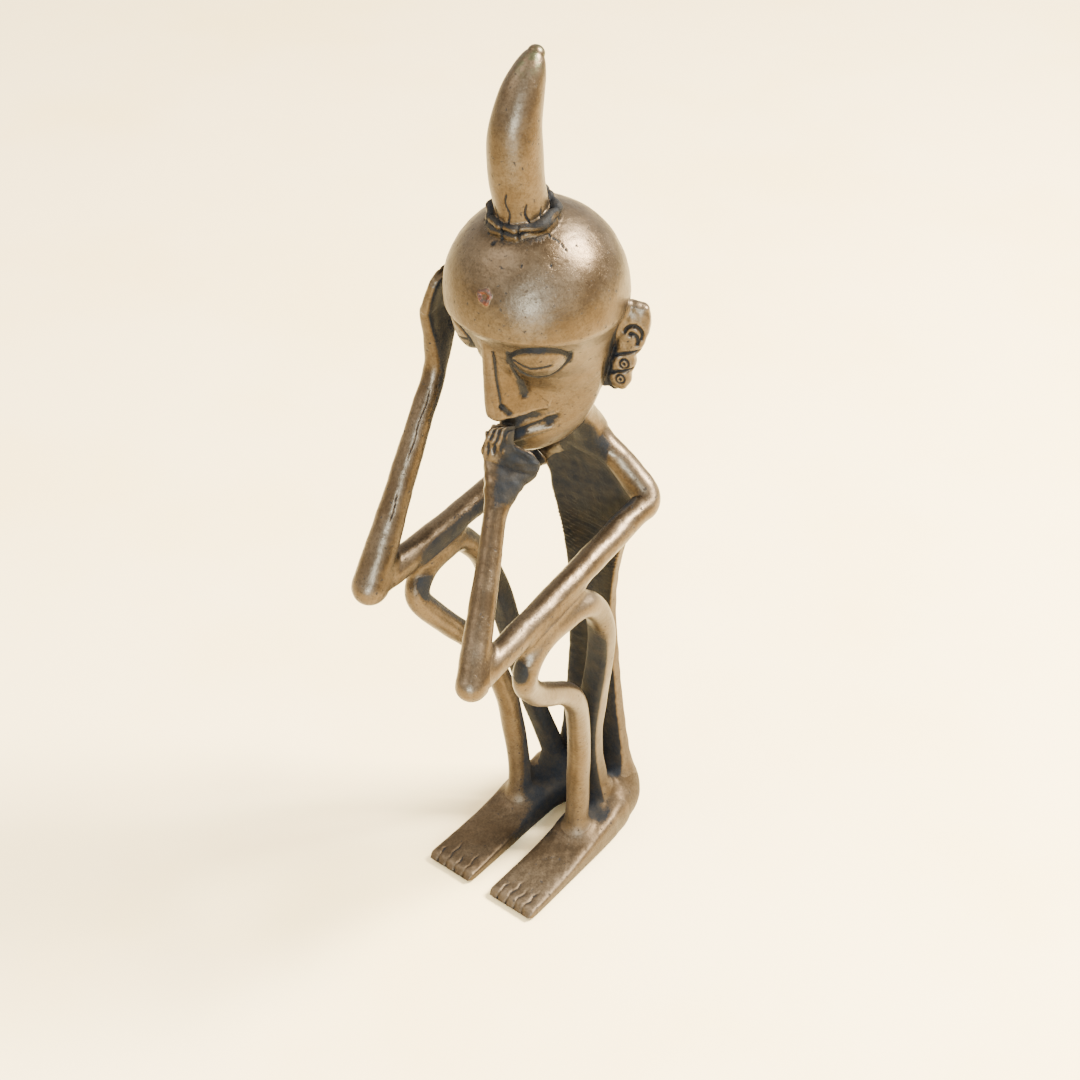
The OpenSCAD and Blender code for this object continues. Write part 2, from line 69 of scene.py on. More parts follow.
def smooth_line(rows, step=RING_STEP):
    """A Catmull-Rom curve through rows of [x, y, z, half width, half thickness],
    sampled at even distances along its length."""
    p = np.asarray(rows, float)
    p = np.vstack([p[:1], p, p[-1:]])
    t = np.linspace(0.0, 1.0, 24, endpoint=False)[:, None]
    a, b, c, d = (p[k:len(p) - 3 + k, None, :] for k in range(4))
    curve = 0.5 * (2 * b + (c - a) * t + (2 * a - 5 * b + 4 * c - d) * t**2
                   + (3 * b - a - 3 * c + d) * t**3)
    curve = np.vstack([curve.reshape(-1, p.shape[1]), p[-1:]])
    run = np.r_[0.0, np.cumsum(np.linalg.norm(np.diff(curve[:, :3], axis=0), axis=1))]
    even = np.linspace(0.0, run[-1], max(int(run[-1] / step), 2) + 1)
    return np.stack([np.interp(even, run, curve[:, k]) for k in range(p.shape[1])], axis=1)


def domed(line, start=0.0, end=0.0):
    """The line with rings added that close its ends like part of a ball: each new
    centre runs on by start or end times the radius times sin(a), and each radius is
    the end's times cos(a)."""
    angles = np.radians(np.linspace(12.0, 87.0, 9))

    def cap(row, along, swell):
        r = min(row[3], row[4])
        centres = row[:3] + along * (r * swell * np.sin(angles))[:, None]
        return np.hstack([centres, row[3:] * np.cos(angles)[:, None]])

    parts = [line]
    if start:
        parts.insert(0, cap(line[0], unit(line[0, :3] - line[1, :3]), start)[::-1])
    if end:
        parts.append(cap(line[-1], unit(line[-1, :3] - line[-2, :3]), end))
    return np.vstack(parts)


def profile(around, aspect=1.0, square=2.0):
    """cos(u) and sin(u) raised to 2 / square, at angles that stand evenly apart round
    a ring whose width is aspect times its thickness."""
    u = np.linspace(0.0, 2 * math.pi, 4001)
    c = np.sign(np.cos(u)) * np.abs(np.cos(u)) ** (2.0 / square)
    s = np.sign(np.sin(u)) * np.abs(np.sin(u)) ** (2.0 / square)
    run = np.r_[0.0, np.cumsum(np.hypot(np.diff(c) * aspect, np.diff(s)))]
    even = np.linspace(0.0, run[-1], around, endpoint=False)
    return np.interp(even, run, c), np.interp(even, run, s)


def rod(line, around=48, side=(1.0, 0.0, 0.0), square=2.0):
    """Rings carried along a line: a point of a ring is its centre plus half width
    times the profile's c on the first axis and half thickness times its s on the
    second. The first axis is carried along without twist."""
    centre, size = line[:, :3], line[:, 3:]
    along = unit(np.gradient(centre, axis=0))
    first = np.zeros_like(centre)
    axis = np.asarray(side, float)
    for i, t in enumerate(along):
        axis = unit(axis - t * (axis @ t))
        first[i] = axis
    second = np.cross(along, first)
    c, s = profile(around, size[:, 0].mean() / size[:, 1].mean(), square)
    return (centre[:, None] + first[:, None] * (size[:, :1] * c)[..., None]
            + second[:, None] * (size[:, 1:2] * s)[..., None])


def outward(grid):
    """The surface's unit normal at each point of a grid that is closed round its
    rings: the cross product of the steps round the ring and along the rings."""
    round_ring = np.roll(grid, -1, axis=1) - np.roll(grid, 1, axis=1)
    along = np.gradient(grid, axis=0)
    n = unit(np.cross(round_ring, along))
    middle = grid.mean(axis=1, keepdims=True)
    if ((grid - middle) * n).sum() < 0:
        n = -n
    return n


def waver(points, size, seed):
    """A smooth wobble between about -1 and 1: a sum of sine waves that run in
    different directions, each with a length near size."""
    rng = np.random.default_rng(seed)
    total = np.zeros(points.shape[:-1])
    for _ in range(9):
        wave = unit(rng.normal(size=3)) * 2 * math.pi / (size * rng.uniform(0.6, 1.7))
        total += np.sin(points @ wave + rng.uniform(0, 2 * math.pi))
    return total / 3.6


wax = {}


def press(name, grid, nodes=None, dark=0.0, blend=2.0):
    """Lay a finished grid by for the casting. nodes gives, for each sub-part that the
    grid stands for, its first and last ring; dark is how dark it starts, from patina
    and on some pieces from painted shade, and blend how widely the wax was smoothed
    into its neighbours, in mm."""
    wax[name] = dict(grid=grid, loop=False, nodes=nodes or {name: (0, len(grid) - 1)}, blend=blend,
                     dark=np.zeros(grid.shape[:2]) + dark)


HIP = (11.4, 7.5, 14.0)
ANKLE = (13.5, -6.0)
KNEE_HALF, KNEE_TOP, KNEE_BACK = 24.6, 121.0, -20.0
leg_forms = {
    # name: side, how far the hook reaches forward, how far it drops, the ankle's shift
    # sideways, how far the thigh's lower end stands in towards the middle
    "left": (1.0, 29.0, 24.5, -2.3, 3.4),
    "right": (-1.0, 23.0, 20.5, -0.4, 0.4),
}
for name, (hand_side, reach, drop, shift, inward) in leg_forms.items():
    rows = np.array([
        [HIP[0] - 0.3 - inward * 0.6, HIP[1] + 0.5 - inward * 0.5, 4.0, 4.6, 4.2],
        [HIP[0] - inward * 0.7, HIP[1] - inward * 0.6, 16.0, 4.3, 3.4],
        [HIP[0] + 0.4 - inward * 0.8, HIP[1] - 1.5 - inward * 0.7, 24.0, 4.0, 3.0],
        [HIP[0] + 4.0 - inward * 0.8, HIP[1] - 9.0 - inward * 0.6, KNEE_TOP * 0.43, 4.0, 2.9],
        [KNEE_HALF - 3.0, KNEE_BACK + 10, KNEE_TOP * 0.81, 4.2, 3.3],
        [KNEE_HALF, KNEE_BACK, KNEE_TOP - 2.5, 4.0, 4.0],
        [KNEE_HALF, KNEE_BACK - reach * 0.42, KNEE_TOP, 4.0, 4.0],
        [KNEE_HALF, KNEE_BACK - reach * 0.82, KNEE_TOP - 2.5, 3.9, 3.9],
        [KNEE_HALF - 0.8, KNEE_BACK - reach, KNEE_TOP - drop * 0.5, 3.9, 3.9],
        [KNEE_HALF - 3.0, KNEE_BACK - reach * 0.74, KNEE_TOP - drop, 3.8, 3.8],
        [KNEE_HALF - 6.0, KNEE_BACK - 1.0, KNEE_TOP * 0.655, 3.8, 3.8],
        [ANKLE[0] + 2.6 + shift * 0.6, ANKLE[1] - 6.0, KNEE_TOP * 0.46, 3.7, 3.7],
        [ANKLE[0] + 0.6 + shift, ANKLE[1] - 2.5, KNEE_TOP * 0.21, 3.7, 3.7],
        [ANKLE[0] + 0.1 + shift, ANKLE[1] - 2.5, 9.0, 3.9, 3.9],
        [ANKLE[0] + 0.1 + shift, ANKLE[1] - 2.5, 2.0, 4.1, 4.1],
    ])
    line = smooth_line(rows)
    knee_from = int(np.argmax(line[:, 2] > KNEE_TOP - 3.0))
    knee_to = len(line) - int(np.argmax(line[::-1, 2] > KNEE_TOP * 0.64))
    flatness = 2.0 + 1.6 * (1.0 - ramp(np.arange(len(line)), knee_from - 60, knee_from))
    grid = rod(line, around=52)
    bar = rod(line, around=52, square=3.4)
    mix = ((flatness - 2.0) / 1.6)[:, None, None]
    grid = grid * (1 - mix) + bar * mix
    normal = outward(grid)
    grid = grid + normal * (0.16 * waver(grid, 14.0, 3))[..., None]
    # the thigh's front was never rubbed and keeps its patina
    hidden = mix[..., 0] * ramp(-normal[..., 1], 0.25, 0.75)
    hidden = hidden + 0.5 * ramp(-normal[..., 0], 0.3, 0.9) * mix[..., 0]
    # darker in the pocket between the arm and the hook's upper corner
    pocket = ([KNEE_HALF, KNEE_BACK - reach - 3.8, KNEE_TOP - 8.0] if hand_side > 0
              else [KNEE_HALF - 3.8, KNEE_BACK - reach + 1.0, KNEE_TOP - 6.0])
    gap = np.linalg.norm((grid - pocket) * [1.0, 1.0, 0.75], axis=-1)
    hidden = hidden + 1.0 * np.exp(-(gap / 3.2) ** 4)
    grid[..., 0] *= hand_side
    if hand_side < 0:
        grid = grid[:, ::-1]
        hidden = hidden[:, ::-1]
    last = len(grid) - 1
    press(name + "_leg", grid, dark=1.05 * hidden, blend=5.0, nodes={
        name + "_thigh": (0, knee_from), name + "_knee": (knee_from, knee_to),
        name + "_shin": (knee_to, last)})

# ----------------------------------------
# Feet: flat wedges of wax that rise from thin toes to a thick instep, with the
# toes marked by grooves cut with a knife.

FOOT_WIDTH = 18.0
for name, hand_side in (("left_foot", 1.0), ("right_foot", -1.0)):
    rows = np.array([
        # y, inner x, outer x, height
        [-45.0, 4.2, 21.8, 3.3],
        [-43.6, 4.0, 22.0, 4.0],
        [-38.0, 4.0, 21.9, 4.4],
        [-30.0, 4.1, 21.6, 5.2],
        [-22.0, 4.2, 21.3, 6.3],
        [-14.0, 4.3, 21.1, 8.2],
        [-6.0, 4.3, 20.9, 10.6],
        [2.0, 4.2, 20.4, 12.0],
        [8.0, 4.5, 19.2, 12.5],
        [12.0, 6.0, 17.0, 10.0],
    ])
    stations = np.linspace(rows[0, 0], rows[-1, 0], 130)
    inner, outer, high = (np.interp(stations, rows[:, 0], rows[:, k]) for k in (1, 2, 3))
    c, s = profile(180, FOOT_WIDTH / 6.0, 5.0)
    middle, half = (inner + outer) / 2, (outer - inner) / 2
    # the toes' front is rounded off over its last 2 mm, the back inside the seat
    close = np.concatenate([np.sin(np.linspace(0.12, math.pi / 2, 6)), np.ones(118),
                            np.cos(np.linspace(0.2, math.pi / 2 - 0.1, 6))])
    grid = np.stack([
        middle[:, None] + half[:, None] * c * (0.93 + 0.07 * close[:, None]),
        np.broadcast_to(stations[:, None], (len(stations), len(c))),
        high[:, None] / 2 * (1 + s * close[:, None]),
    ], axis=2)
    top = ramp(s, 0.5, 0.95)[None]
    x, y = grid[..., 0], grid[..., 1]
    across = (x - middle[:, None]) / half[:, None]
    toe_cut, front_notch = np.zeros_like(x), np.zeros_like(x)
    for k in range(1, 5):
        parting = -1 + 2 * k / 5
        place = parting + 0.04 * math.sin(7.0 * k + hand_side)
        length = 9.5 + 2.0 * math.sin(3.0 * k + hand_side)
        wander = 0.025 * np.sin(y * 1.3 + k) + 0.008 * (y + 40)
        toe_cut += (np.exp(-((across - place - wander) / 0.05) ** 2)
                    * (1 - ramp(y, TOE_FRONT + length - 3.5, TOE_FRONT + length)))
        front_notch += np.exp(-((across - parting) / 0.06) ** 2) * (1 - ramp(y, -45.0, -43.6))
    nails = np.sin(across * 2.5 * math.pi + 0.3) * np.exp(-((y + 41.0) / 1.6) ** 2)
    grid[..., 2] -= (0.30 * toe_cut - 0.15 * nails - 0.05 * waver(grid, 3.0, 15)) * top
    grid[..., 1] += 0.35 * front_notch
    grid[..., 0] *= hand_side
    if hand_side < 0:
        grid, toe_cut = grid[:, ::-1], toe_cut[:, ::-1]
    grid[..., 2] = np.maximum(grid[..., 2], 0.0)
    press(name, grid, dark=0.10 + 0.15 * np.clip(toe_cut, 0, 1), blend=6.0)

# ----------------------------------------
# Seat: a rounded block behind the feet, which carries both thighs and the body
# plate. Its underside is flat, its back and sides were rubbed round.

turn = np.linspace(0.0, 2 * math.pi, 168, endpoint=False)
rise = np.linspace(-math.pi / 2 + 0.02, math.pi / 2 - 0.02, 84)
SEAT_HALF, SEAT_FRONT, SEAT_BACK, SEAT_HIGH = 18.9, 3.0, 22.9, 21.0
plan_c, plan_s = (np.sign(w) * np.abs(w) ** 0.75 for w in (np.cos(turn), np.sin(turn)))
ring_size = np.cos(rise) ** 0.55
level = np.sign(np.sin(rise)) * np.abs(np.sin(rise)) ** 0.8
seat_mid = (SEAT_FRONT + SEAT_BACK) / 2
grid = np.stack([
    SEAT_HALF * plan_c[None] * ring_size[:, None] * (1 - 0.12 * ramp(level, -0.2, 1.0)[:, None]),
    seat_mid + (SEAT_BACK - SEAT_FRONT) / 2 * plan_s[None] * ring_size[:, None],
    np.broadcast_to((SEAT_HIGH * 0.46 * (1 + level))[:, None], (84, 168)),
], axis=2)
# an arch between the feet, open to the front
arch = np.exp(-(grid[..., 0] / 3.6) ** 2) * ramp(-grid[..., 2], -12.0, -5.0)
grid[..., 1] += 7.0 * arch * ramp(-plan_s, 0.1, 0.7)[None]
between_feet = ramp(-plan_s, 0.2, 0.8)[None] * np.exp(-(grid[..., 0] / 9.0) ** 2)
press("seat", grid, dark=0.15 + 0.5 * between_feet, blend=7.0)

# ----------------------------------------
# Body plate: a flat strip of wax from the seat to the shoulders. Its front was
# left rough, with fine marks across it, and is almost black; its edges shine.

rows = np.array([
    # z, half width, front y, back y
    [6.0, 13.0, 12.5, 21.0],
    [14.0, 14.2, 12.2, 21.0],
    [28.0, 12.9, 12.6, 19.0],
    [40.0, 11.6, 12.5, 17.8],
    [52.0, 10.4, 12.2, 17.1],
    [85.0, 8.3, 11.0, 15.3],
    [104.0, 10.0, 10.1, 14.3],
    [117.0, 12.8, 10.0, 14.2],
    [127.0, 15.8, 10.0, 14.2],
    [137.0, 17.0, 10.0, 14.2],
    [143.0, 14.4, 9.6, 13.8],
    [150.0, 7.8, 8.0, 12.6],
    [155.0, 4.0, 7.2, 11.4],
])
line = smooth_line(np.stack([rows[:, 0] * 0, rows[:, 2] + rows[:, 3], rows[:, 0],
                             rows[:, 1], rows[:, 3] - rows[:, 2]], axis=1)
                   * [1, 0.5, 1, 1, 0.5], step=0.6)
grid = rod(line, around=150, square=5.5)
normal = outward(grid)
front = ramp(-normal[..., 1], 0.4, 0.9)
x, z = grid[..., 0], grid[..., 2]
ridges = (np.sin((z + 0.25 * np.sin(x * 0.5) * x * 0.3) * 2 * math.pi / 1.5)
          * np.exp(-((z - 113.0) / 9.0) ** 2))
# the front is dished, and more so below the waist
lower_dish = 1.3 * (1 - ramp(z, 45.0, 85.0)) * ramp(z, 16.0, 26.0)
dish = (0.7 + lower_dish) * np.exp(-(x / (line[:, 3:4] * 0.72)) ** 4)
grid += normal * (front * (0.30 * ridges - dish) + 0.12 * waver(grid, 9.0, 5)
                  + 0.1 * front * waver(grid, 2.6, 6))[..., None]
inside_edges = ramp(-np.abs(x) / line[:, 3:4], -1.02, -0.82)
press("torso_plate", grid, dark=(1.15 - 0.5 * np.clip(ridges, 0, 1)) * front * inside_edges,
      blend=5.0)

# ----------------------------------------
# Shoulders and arms: one rod lies over the top of the plate and bends sharply
# at each shoulder. The upper arms run down over the knees, where they were
# pressed into them, and the forearms rise again from pointed elbows.

SHOULDER_HALF, SHOULDER_Z, PLATE_Y, RISE = 21.0, 137.0, 13.0, 20.0
NECK_FOOT = np.array([0.0, 9.0, 157.0])
CROWN_Y = -15.0
SKULL = np.array([0.0, CROWN_Y, 215.5])
arm_forms = {
    # side, point over the knee, upper arm's length, elbow's radius, wrist
    "left": (1.0, np.array([22.0, -37.4, 126.8]), 84.9, 4.7, np.array([6.0, -40.0, 157.5])),
    "right": (-1.0, np.array([-25.2, -32.65, 127.8]), 73.0, 5.5, np.array([-30.5, -23.5, 182.5])),
}
elbows = {}
for name, (hand_side, rest, length, elbow_r, wrist) in arm_forms.items():
    shoulder = np.array([hand_side * SHOULDER_HALF, PLATE_Y - 1.0, SHOULDER_Z])
    along = unit(rest - shoulder)
    elbow = shoulder + length * along
    elbows[name] = elbow
    upper = np.array([
        [*(NECK_FOOT + [-hand_side * 2.0, 0.6, -0.8]), 3.4, 3.4],
        [hand_side * SHOULDER_HALF * 0.28, PLATE_Y - 3.0, SHOULDER_Z + RISE * 0.74, 3.8, 3.8],
        [hand_side * SHOULDER_HALF * 0.6, PLATE_Y - 1.0, SHOULDER_Z + RISE * 0.43, 3.9, 3.9],
        [*(shoulder + [-hand_side * 1.4, 0.4, 2.4]), 4.1, 4.1],
        [*(shoulder + along * 2 + [hand_side * 0.4, 0, 0]), 4.2, 4.2],
        [*(shoulder + along * 8), 4.1, 4.1],
        [*(shoulder + along * length * 0.4), 4.1, 4.1],
        [*(shoulder + along * length * 0.7), 4.25, 4.25],
        [*(shoulder + along * (length - 9)), elbow_r * 0.9, elbow_r * 0.9],
        [*(elbow - along * elbow_r * 0.9), elbow_r * 0.82, elbow_r * 0.82],
    ])
    line = smooth_line(upper)
    bend = int(np.argmax((line[:, :3] - shoulder) @ along > 8.0))
    line = domed(line, start=0.8, end=0.7)
    bend += 9
    grid = rod(line, around=60, side=(0.0, 0.0, 1.0))
    normal = outward(grid)
    grid += normal * (0.14 * waver(grid, 12.0, 8) + 0.04 * waver(grid, 3.5, 18))[..., None]
    under = ramp(-normal[..., 2], 0.1, 0.8)
    # painted shade on the underside of the right upper arm, between the shoulder and the elbow
    run = ((line[:, :3] - shoulder) @ along / length)[:, None]
    shade = 1.0 * ramp(-normal[..., 1], 0.1, 0.7) * ramp(-np.abs(grid[..., 0]), -11.0, -6.0)
    if hand_side < 0:
        shade = shade + (1.05 * ramp(-normal[..., 2] + 0.5 * normal[..., 0], -0.5, 0.5)
                         * ramp(run, 0.08, 0.2) * (1 - ramp(run, 0.68, 0.82)))
    press(name + "_arm", grid, dark=shade, blend=4.0, nodes={
        "shoulder_yoke": (0, bend), name + "_upper_arm": (bend, len(line) - 1)})

# ----------------------------------------
# Forearms and hands: each forearm rises from a pointed elbow and was beaten out
# into a flat hand, with the fingers parted by knife cuts. The left is held to the
# mouth, the right lies hollowed along the head.

hand_forms = {
    # palm's centre, way it is spread, way the fingers point, length of the fingers
    "left": ([4.6, -32.4, 168.5], [0.8, 0.6, 0.0], [0.1, 0.12, 1.0], 10.5),
    "right": ([-30.0, -21.5, 202.5], [-0.1, 1.0, 0.0], [0.3, 0.05, 1.0], 12.5),
}
for name, (palm, spread, fingers, length) in hand_forms.items():
    palm, spread, fingers = np.array(palm), unit(spread), unit(fingers)
    _, _, _, elbow_r, wrist = arm_forms[name]
    elbow = elbows[name]
    reach = wrist - elbow
    rows = np.array([[*(elbow + reach * t), r, r] for t, r in (
        (0.0, elbow_r), (0.12, elbow_r * 0.94), (0.35, 3.4 + (elbow_r - 3.4) * 0.5),
        (0.7, 3.4 + (elbow_r - 3.4) * 0.15), (0.95, 3.4))] + [
        [*(wrist + (palm - wrist) * 0.42), 5.4, 3.2],
        [*(palm - fingers * 2), 8.2, 2.7],
        [*(palm + fingers * 2), 8.8, 2.5],
        [*(palm + fingers * (length - 3)), 8.3, 2.2],
        [*(palm + fingers * length), 7.4, 1.7],
    ])
    line = domed(smooth_line(rows, step=0.42), start=1.0, end=0.9)
    past_wrist = ((line[:, :3] - wrist) @ unit(reach)) / np.linalg.norm(reach)
    flat = ramp(past_wrist, -0.03, 0.12)[:, None, None]
    round_rod = rod(line, around=120, side=spread)
    flat_rod = rod(line, around=120, side=spread, square=2.8)
    grid = round_rod * (1 - flat) + flat_rod * flat
    across = ((grid - line[:, None, :3]) @ spread) / np.maximum(line[:, 3:4], 0.5)
    up = (grid - palm) @ fingers
    run = ((grid - elbow) @ reach) / (reach @ reach)
    normal = outward(grid)
    front = normal @ np.array([0.6, -0.8, 0.1])
    cut = np.zeros_like(across)
    if name == "left":
        for place, low_end in ((-0.95, -3.0), (-0.76, -0.5), (-0.56, 0.5), (-0.34, 2.5)):
            knife = np.exp(-((across - place - 0.02 * np.sin(up)) / 0.045) ** 2)
            cut += knife * ramp(up, low_end, low_end + 3.0)
        dirt_and_shade = 0.85 * ramp(across, -0.75, 0.0) * ramp(up, -14.0, -6.0) + 0.35 * np.clip(cut, 0, 1)
        dirt_and_shade = dirt_and_shade * ramp(front, -0.6, 0.2)
        # only the fingertips reach the mouth; the palm's far side stays under the chin
        grid = grid - fingers * (6.6 * ramp(across, -0.5, 0.2) * ramp(up, -4.0, length))[..., None]
        kneaded = 0.22 * waver(grid, 3.6, 12) * ramp(up, -13.0, -6.0)
        grid += normal * (-0.55 * cut + kneaded)[..., None]
        crack = np.zeros_like(cut)
    else:
        for place in (-0.5, 0.0, 0.5):
            cut += np.exp(-((across - place) / 0.06) ** 2) * ramp(up, 0.5, 4.0)
        to_head = np.cross(fingers, spread)
        inner = ramp(normal @ to_head * np.sign(to_head[0]), 0.2, 0.7)
        cup = inner * ramp(up, -15.0, -4.0) * np.exp(-(across / 0.7) ** 4)
        dirt_and_shade = 1.3 * cup + 0.55 * ramp(up, -17.0, -6.0) * ramp(-np.abs(across), -0.9, -0.5)
        grid += normal * (-0.5 * cut * (1 - inner) - 1.3 * cup)[..., None]
        # a casting crack runs up the forearm's front, wandering from side to side
        crack_side = unit(np.cross(reach, [0.55, -0.8, 0.0]))
        off_line = np.abs(normal @ crack_side - 0.06 * np.sin(run * 40))
        near_elbow = ramp(run, 0.30, 0.33) * (1 - ramp(run, 0.42, 0.46))
        near_wrist = ramp(run, 0.56, 0.60) * (1 - ramp(run, 0.86, 0.9))
        crack = (np.exp(-(off_line / 0.028) ** 2) * (front > 0)
                 * np.clip(near_elbow + near_wrist, 0, 1))
    rolled = 0.12 * waver(grid, 12.0, 9) + 0.04 * waver(grid, 3.5, 19)
    grid += normal * (rolled - 0.3 * crack)[..., None]
    grid += fingers * (ramp(up, length - 4, length) * (-1.6 * across**2 - 0.6 * cut))[..., None]
    wrist_row = int(np.argmax((line[:, :3] - wrist) @ unit(reach) > -1.0))
    press(name + "_fore", grid, dark=np.clip(dirt_and_shade + 0.9 * crack, 0, 1), blend=2.5, nodes={
        name + "_forearm": (0, wrist_row), name + "_hand": (wrist_row, len(grid) - 1)})

# ----------------------------------------
# Neck: a short thick rod from the shoulders up under the back of the jaw.

neck_top = np.array([0.0, CROWN_Y + 9.0, SKULL[2] - 36.0])
rows = np.array([
    [*(NECK_FOOT + [0, 0.0, -6.0]), 5.4, 3.6],
    [*(NECK_FOOT + [0, -0.6, 0.0]), 5.2, 4.8],
    [*((NECK_FOOT + neck_top) / 2), 5.3, 5.2],
    [*neck_top, 6.0, 5.8],
])
line = domed(smooth_line(rows), start=0.8, end=0.8)
grid = rod(line, around=64)
grid += outward(grid) * (0.15 * waver(grid, 7.0, 13))[..., None]
press("neck", grid, dark=0.1 + 0.7 * ramp(-outward(grid)[..., 1], 0.0, 0.6), blend=5.0)

# ----------------------------------------
# Head: a hollow ball above the brow and a narrow wedge of a face below it. It
# was cast round a clay core. The eyes, nose and lips were pressed on and their
# lines cut with a point before casting.

SKULL_R = 26.0
face_rows = np.array([
    # height above the skull's centre, half width, y of the widest place, front, back,
    # power of the front's curve
    [-3.0, 25.83, 0.0, 25.83, 25.83, 2.0],
    [-4.0, 25.4, 0.2, 24.9, 25.5, 2.0],
    [-5.6, 24.4, 0.7, 23.5, 24.9, 1.97],
    [-9.0, 22.8, 1.8, 21.8, 23.3, 1.9],
    [-15.0, 21.2, 3.3, 19.8, 20.6, 1.74],
    [-20.0, 20.0, 4.4, 17.7, 18.4, 1.48],
    [-27.1, 18.6, 5.5, 15.8, 16.0, 1.25],
    [-35.7, 15.6, 6.0, 14.0, 13.0, 1.3],
    [-43.4, 12.2, 5.0, 12.4, 10.5, 1.5],
    [-48.6, 8.2, 3.4, 10.0, 8.3, 1.8],
    [-51.0, 4.8, 1.2, 6.6, 6.0, 2.0],
    [-51.9, 1.6, 0.0, 2.2, 2.2, 2.0],
])
low = np.interp(np.linspace(0, 1, 150), [0, 0.12, 1], [-51.9, -48.6, -3.0])
lat = np.radians(np.linspace(math.degrees(math.asin(-3.0 / SKULL_R)), 89.0, 100))[1:]
levels = np.r_[low, SKULL_R * np.sin(lat)]
ball = np.sqrt(np.maximum(SKULL_R**2 - levels**2, 0))
table = np.stack([np.interp(levels, face_rows[::-1, 0], face_rows[::-1, k])
                  for k in range(1, 6)], axis=1)
ease = np.hanning(13) / np.hanning(13).sum()
padded_table = np.vstack([np.repeat(table[:1], 6, 0), table, np.repeat(table[-1:], 6, 0)])
table = np.stack([np.convolve(padded_table[:, k], ease, "valid") for k in range(5)], axis=1)
round_part = np.stack([ball, ball * 0, ball, ball, ball * 0 + 2], axis=1)
table = np.where((levels > -3.0)[:, None], round_part, table)
half, widest, fore_y, back_y, power = table.T[:, :, None]
s = np.linspace(0.0, 1.0, 380, endpoint=False)
# more columns round the face than round the back
angle = 2 * math.pi * s - 0.42 * np.cos(2 * math.pi * s)
ca, sa = np.cos(angle)[None], np.sin(angle)[None]
bend = np.where(sa < 0, 2.0 / power, 1.0)
grid = np.stack([
    np.sign(ca) * half * np.abs(ca) ** bend,
    CROWN_Y + widest + np.where(sa < 0, -(widest + fore_y), back_y - widest) * np.abs(sa) ** bend,
    SKULL[2] + levels[:, None] + 0 * ca,
], axis=2)


def cut_line(points, path, width):
    """How near each point is to a path of straight stretches: 1 on it, falling to 0
    as a bell curve of the given width."""
    near = np.full(points.shape[:-1], 1e9)
    path = np.asarray(path, float)
    for a, b in zip(path[:-1], path[1:]):
        t = np.clip(((points - a) @ (b - a)) / ((b - a) @ (b - a)), 0, 1)
        near = np.minimum(near, np.linalg.norm(points - a - t[..., None] * (b - a), axis=-1))
    return np.exp(-(near / width) ** 2)


def soft_min(a, b, k):
    """The smaller of a and b, with the change from one to the other rounded over k."""
    h = np.clip(k - np.abs(a - b), 0, None) / k
    return np.minimum(a, b) - h * h * k / 4


def swell(grid, lump, k):
    """Move each point out along its normal until the soft minimum of its own height
    and its distance from the lump is nothing. Gives the new grid and the heights."""
    n = outward(grid)
    t = np.zeros(grid.shape[:2])
    for _ in range(16):
        t = t - 0.85 * soft_min(t, lump(grid + n * t[..., None]), k)
    return grid + n * t[..., None], t


def bead(points, path):
    """Distance to a row of balls along straight stretches between [x, y, z, radius]."""
    path = np.asarray(path, float)
    best = np.full(points.shape[:-1], 1e9)
    for a, b in zip(path[:-1], path[1:]):
        w = b[:3] - a[:3]
        t = np.clip(((points - a[:3]) @ w) / (w @ w), 0, 1)
        gap = np.linalg.norm(points - a[:3] - t[..., None] * w, axis=-1)
        best = np.minimum(best, gap - a[3] - t * (b[3] - a[3]))
    return best


nose_bridge, nose_tip = np.array([0.0, -22.5, -8.5]), np.array([0.0, -20.9, -31.0])
nose_wing = np.array([7.6, -7.8, -32.4])


def nose_wedge(points):
    """Distance to a wedge: the largest of the distances to its two cheeks, its narrow
    front, its flat underside, its back and its top under the brow, with the edges
    between them rounded."""
    p = points - SKULL
    side = unit(np.cross(nose_tip - nose_bridge, nose_wing - nose_bridge))
    side = side if side[0] > 0 else -side
    folded = np.concatenate([np.abs(p[..., :1]), p[..., 1:]], axis=-1)
    cheek = (folded - nose_bridge) @ side - 1.3
    front = (p - nose_tip) @ unit(np.cross(nose_tip - nose_bridge, [1.0, 0, 0])) - 0.2
    under = (p - nose_wing) @ unit([0.0, 0.12, -1.0]) - 0.6
    ridge = -soft_min(-front, -under, 3.4)
    ridge = -soft_min(-ridge, -cheek, 1.3)
    under_brow = p[..., 2] + 4.0 + 0.35 * (p[..., 1] + 20)
    return np.maximum(-soft_min(-ridge, -under_brow, 3.0), p[..., 1] + 6.8)


head_base = grid
head_grid, nose_height = swell(head_base, nose_wedge, 1.0)
upper_lip = [[-9.8, -4.4, -35.0, 0.9], [0, -12.9, -39.3, 2.4], [9.8, -4.4, -35.0, 0.9]]
lower_lip = [[-9.4, -4.8, -39.8, 0.9], [0, -12.6, -43.6, 2.0], [9.4, -4.8, -39.8, 0.9]]
head_grid, lip_height = swell(
    head_grid, lambda p: np.minimum(bead(p - SKULL, upper_lip), bead(p - SKULL, lower_lip)), 0.8)
n = outward(head_grid)
rel = head_grid - SKULL
mirrored = np.concatenate([np.abs(rel[..., :1]), rel[..., 1:]], axis=-1)
EYE, EYE_TURN, EYE_HALF = np.array([12.6, -14.0, -11.4]), math.radians(41.0), 8.6
eye_along = np.array([math.cos(EYE_TURN), math.sin(EYE_TURN), 0.0])
a = (mirrored - EYE) @ eye_along / EYE_HALF
b = mirrored[..., 2] - EYE[2] - 0.8 * a**2
facing = ramp(-n[..., 1], 0.1, 0.3)
lid = np.clip(1 - np.abs(a) ** 2.3, 0, 1)
upper, lower = 6.3 * lid, -6.4 * lid
in_reach = ramp(-np.abs(a), -1.06, -0.98) * facing
outline = np.exp(-((b - upper) / 0.75) ** 2) + 1.2 * np.exp(-((b - lower) / 1.15) ** 2)
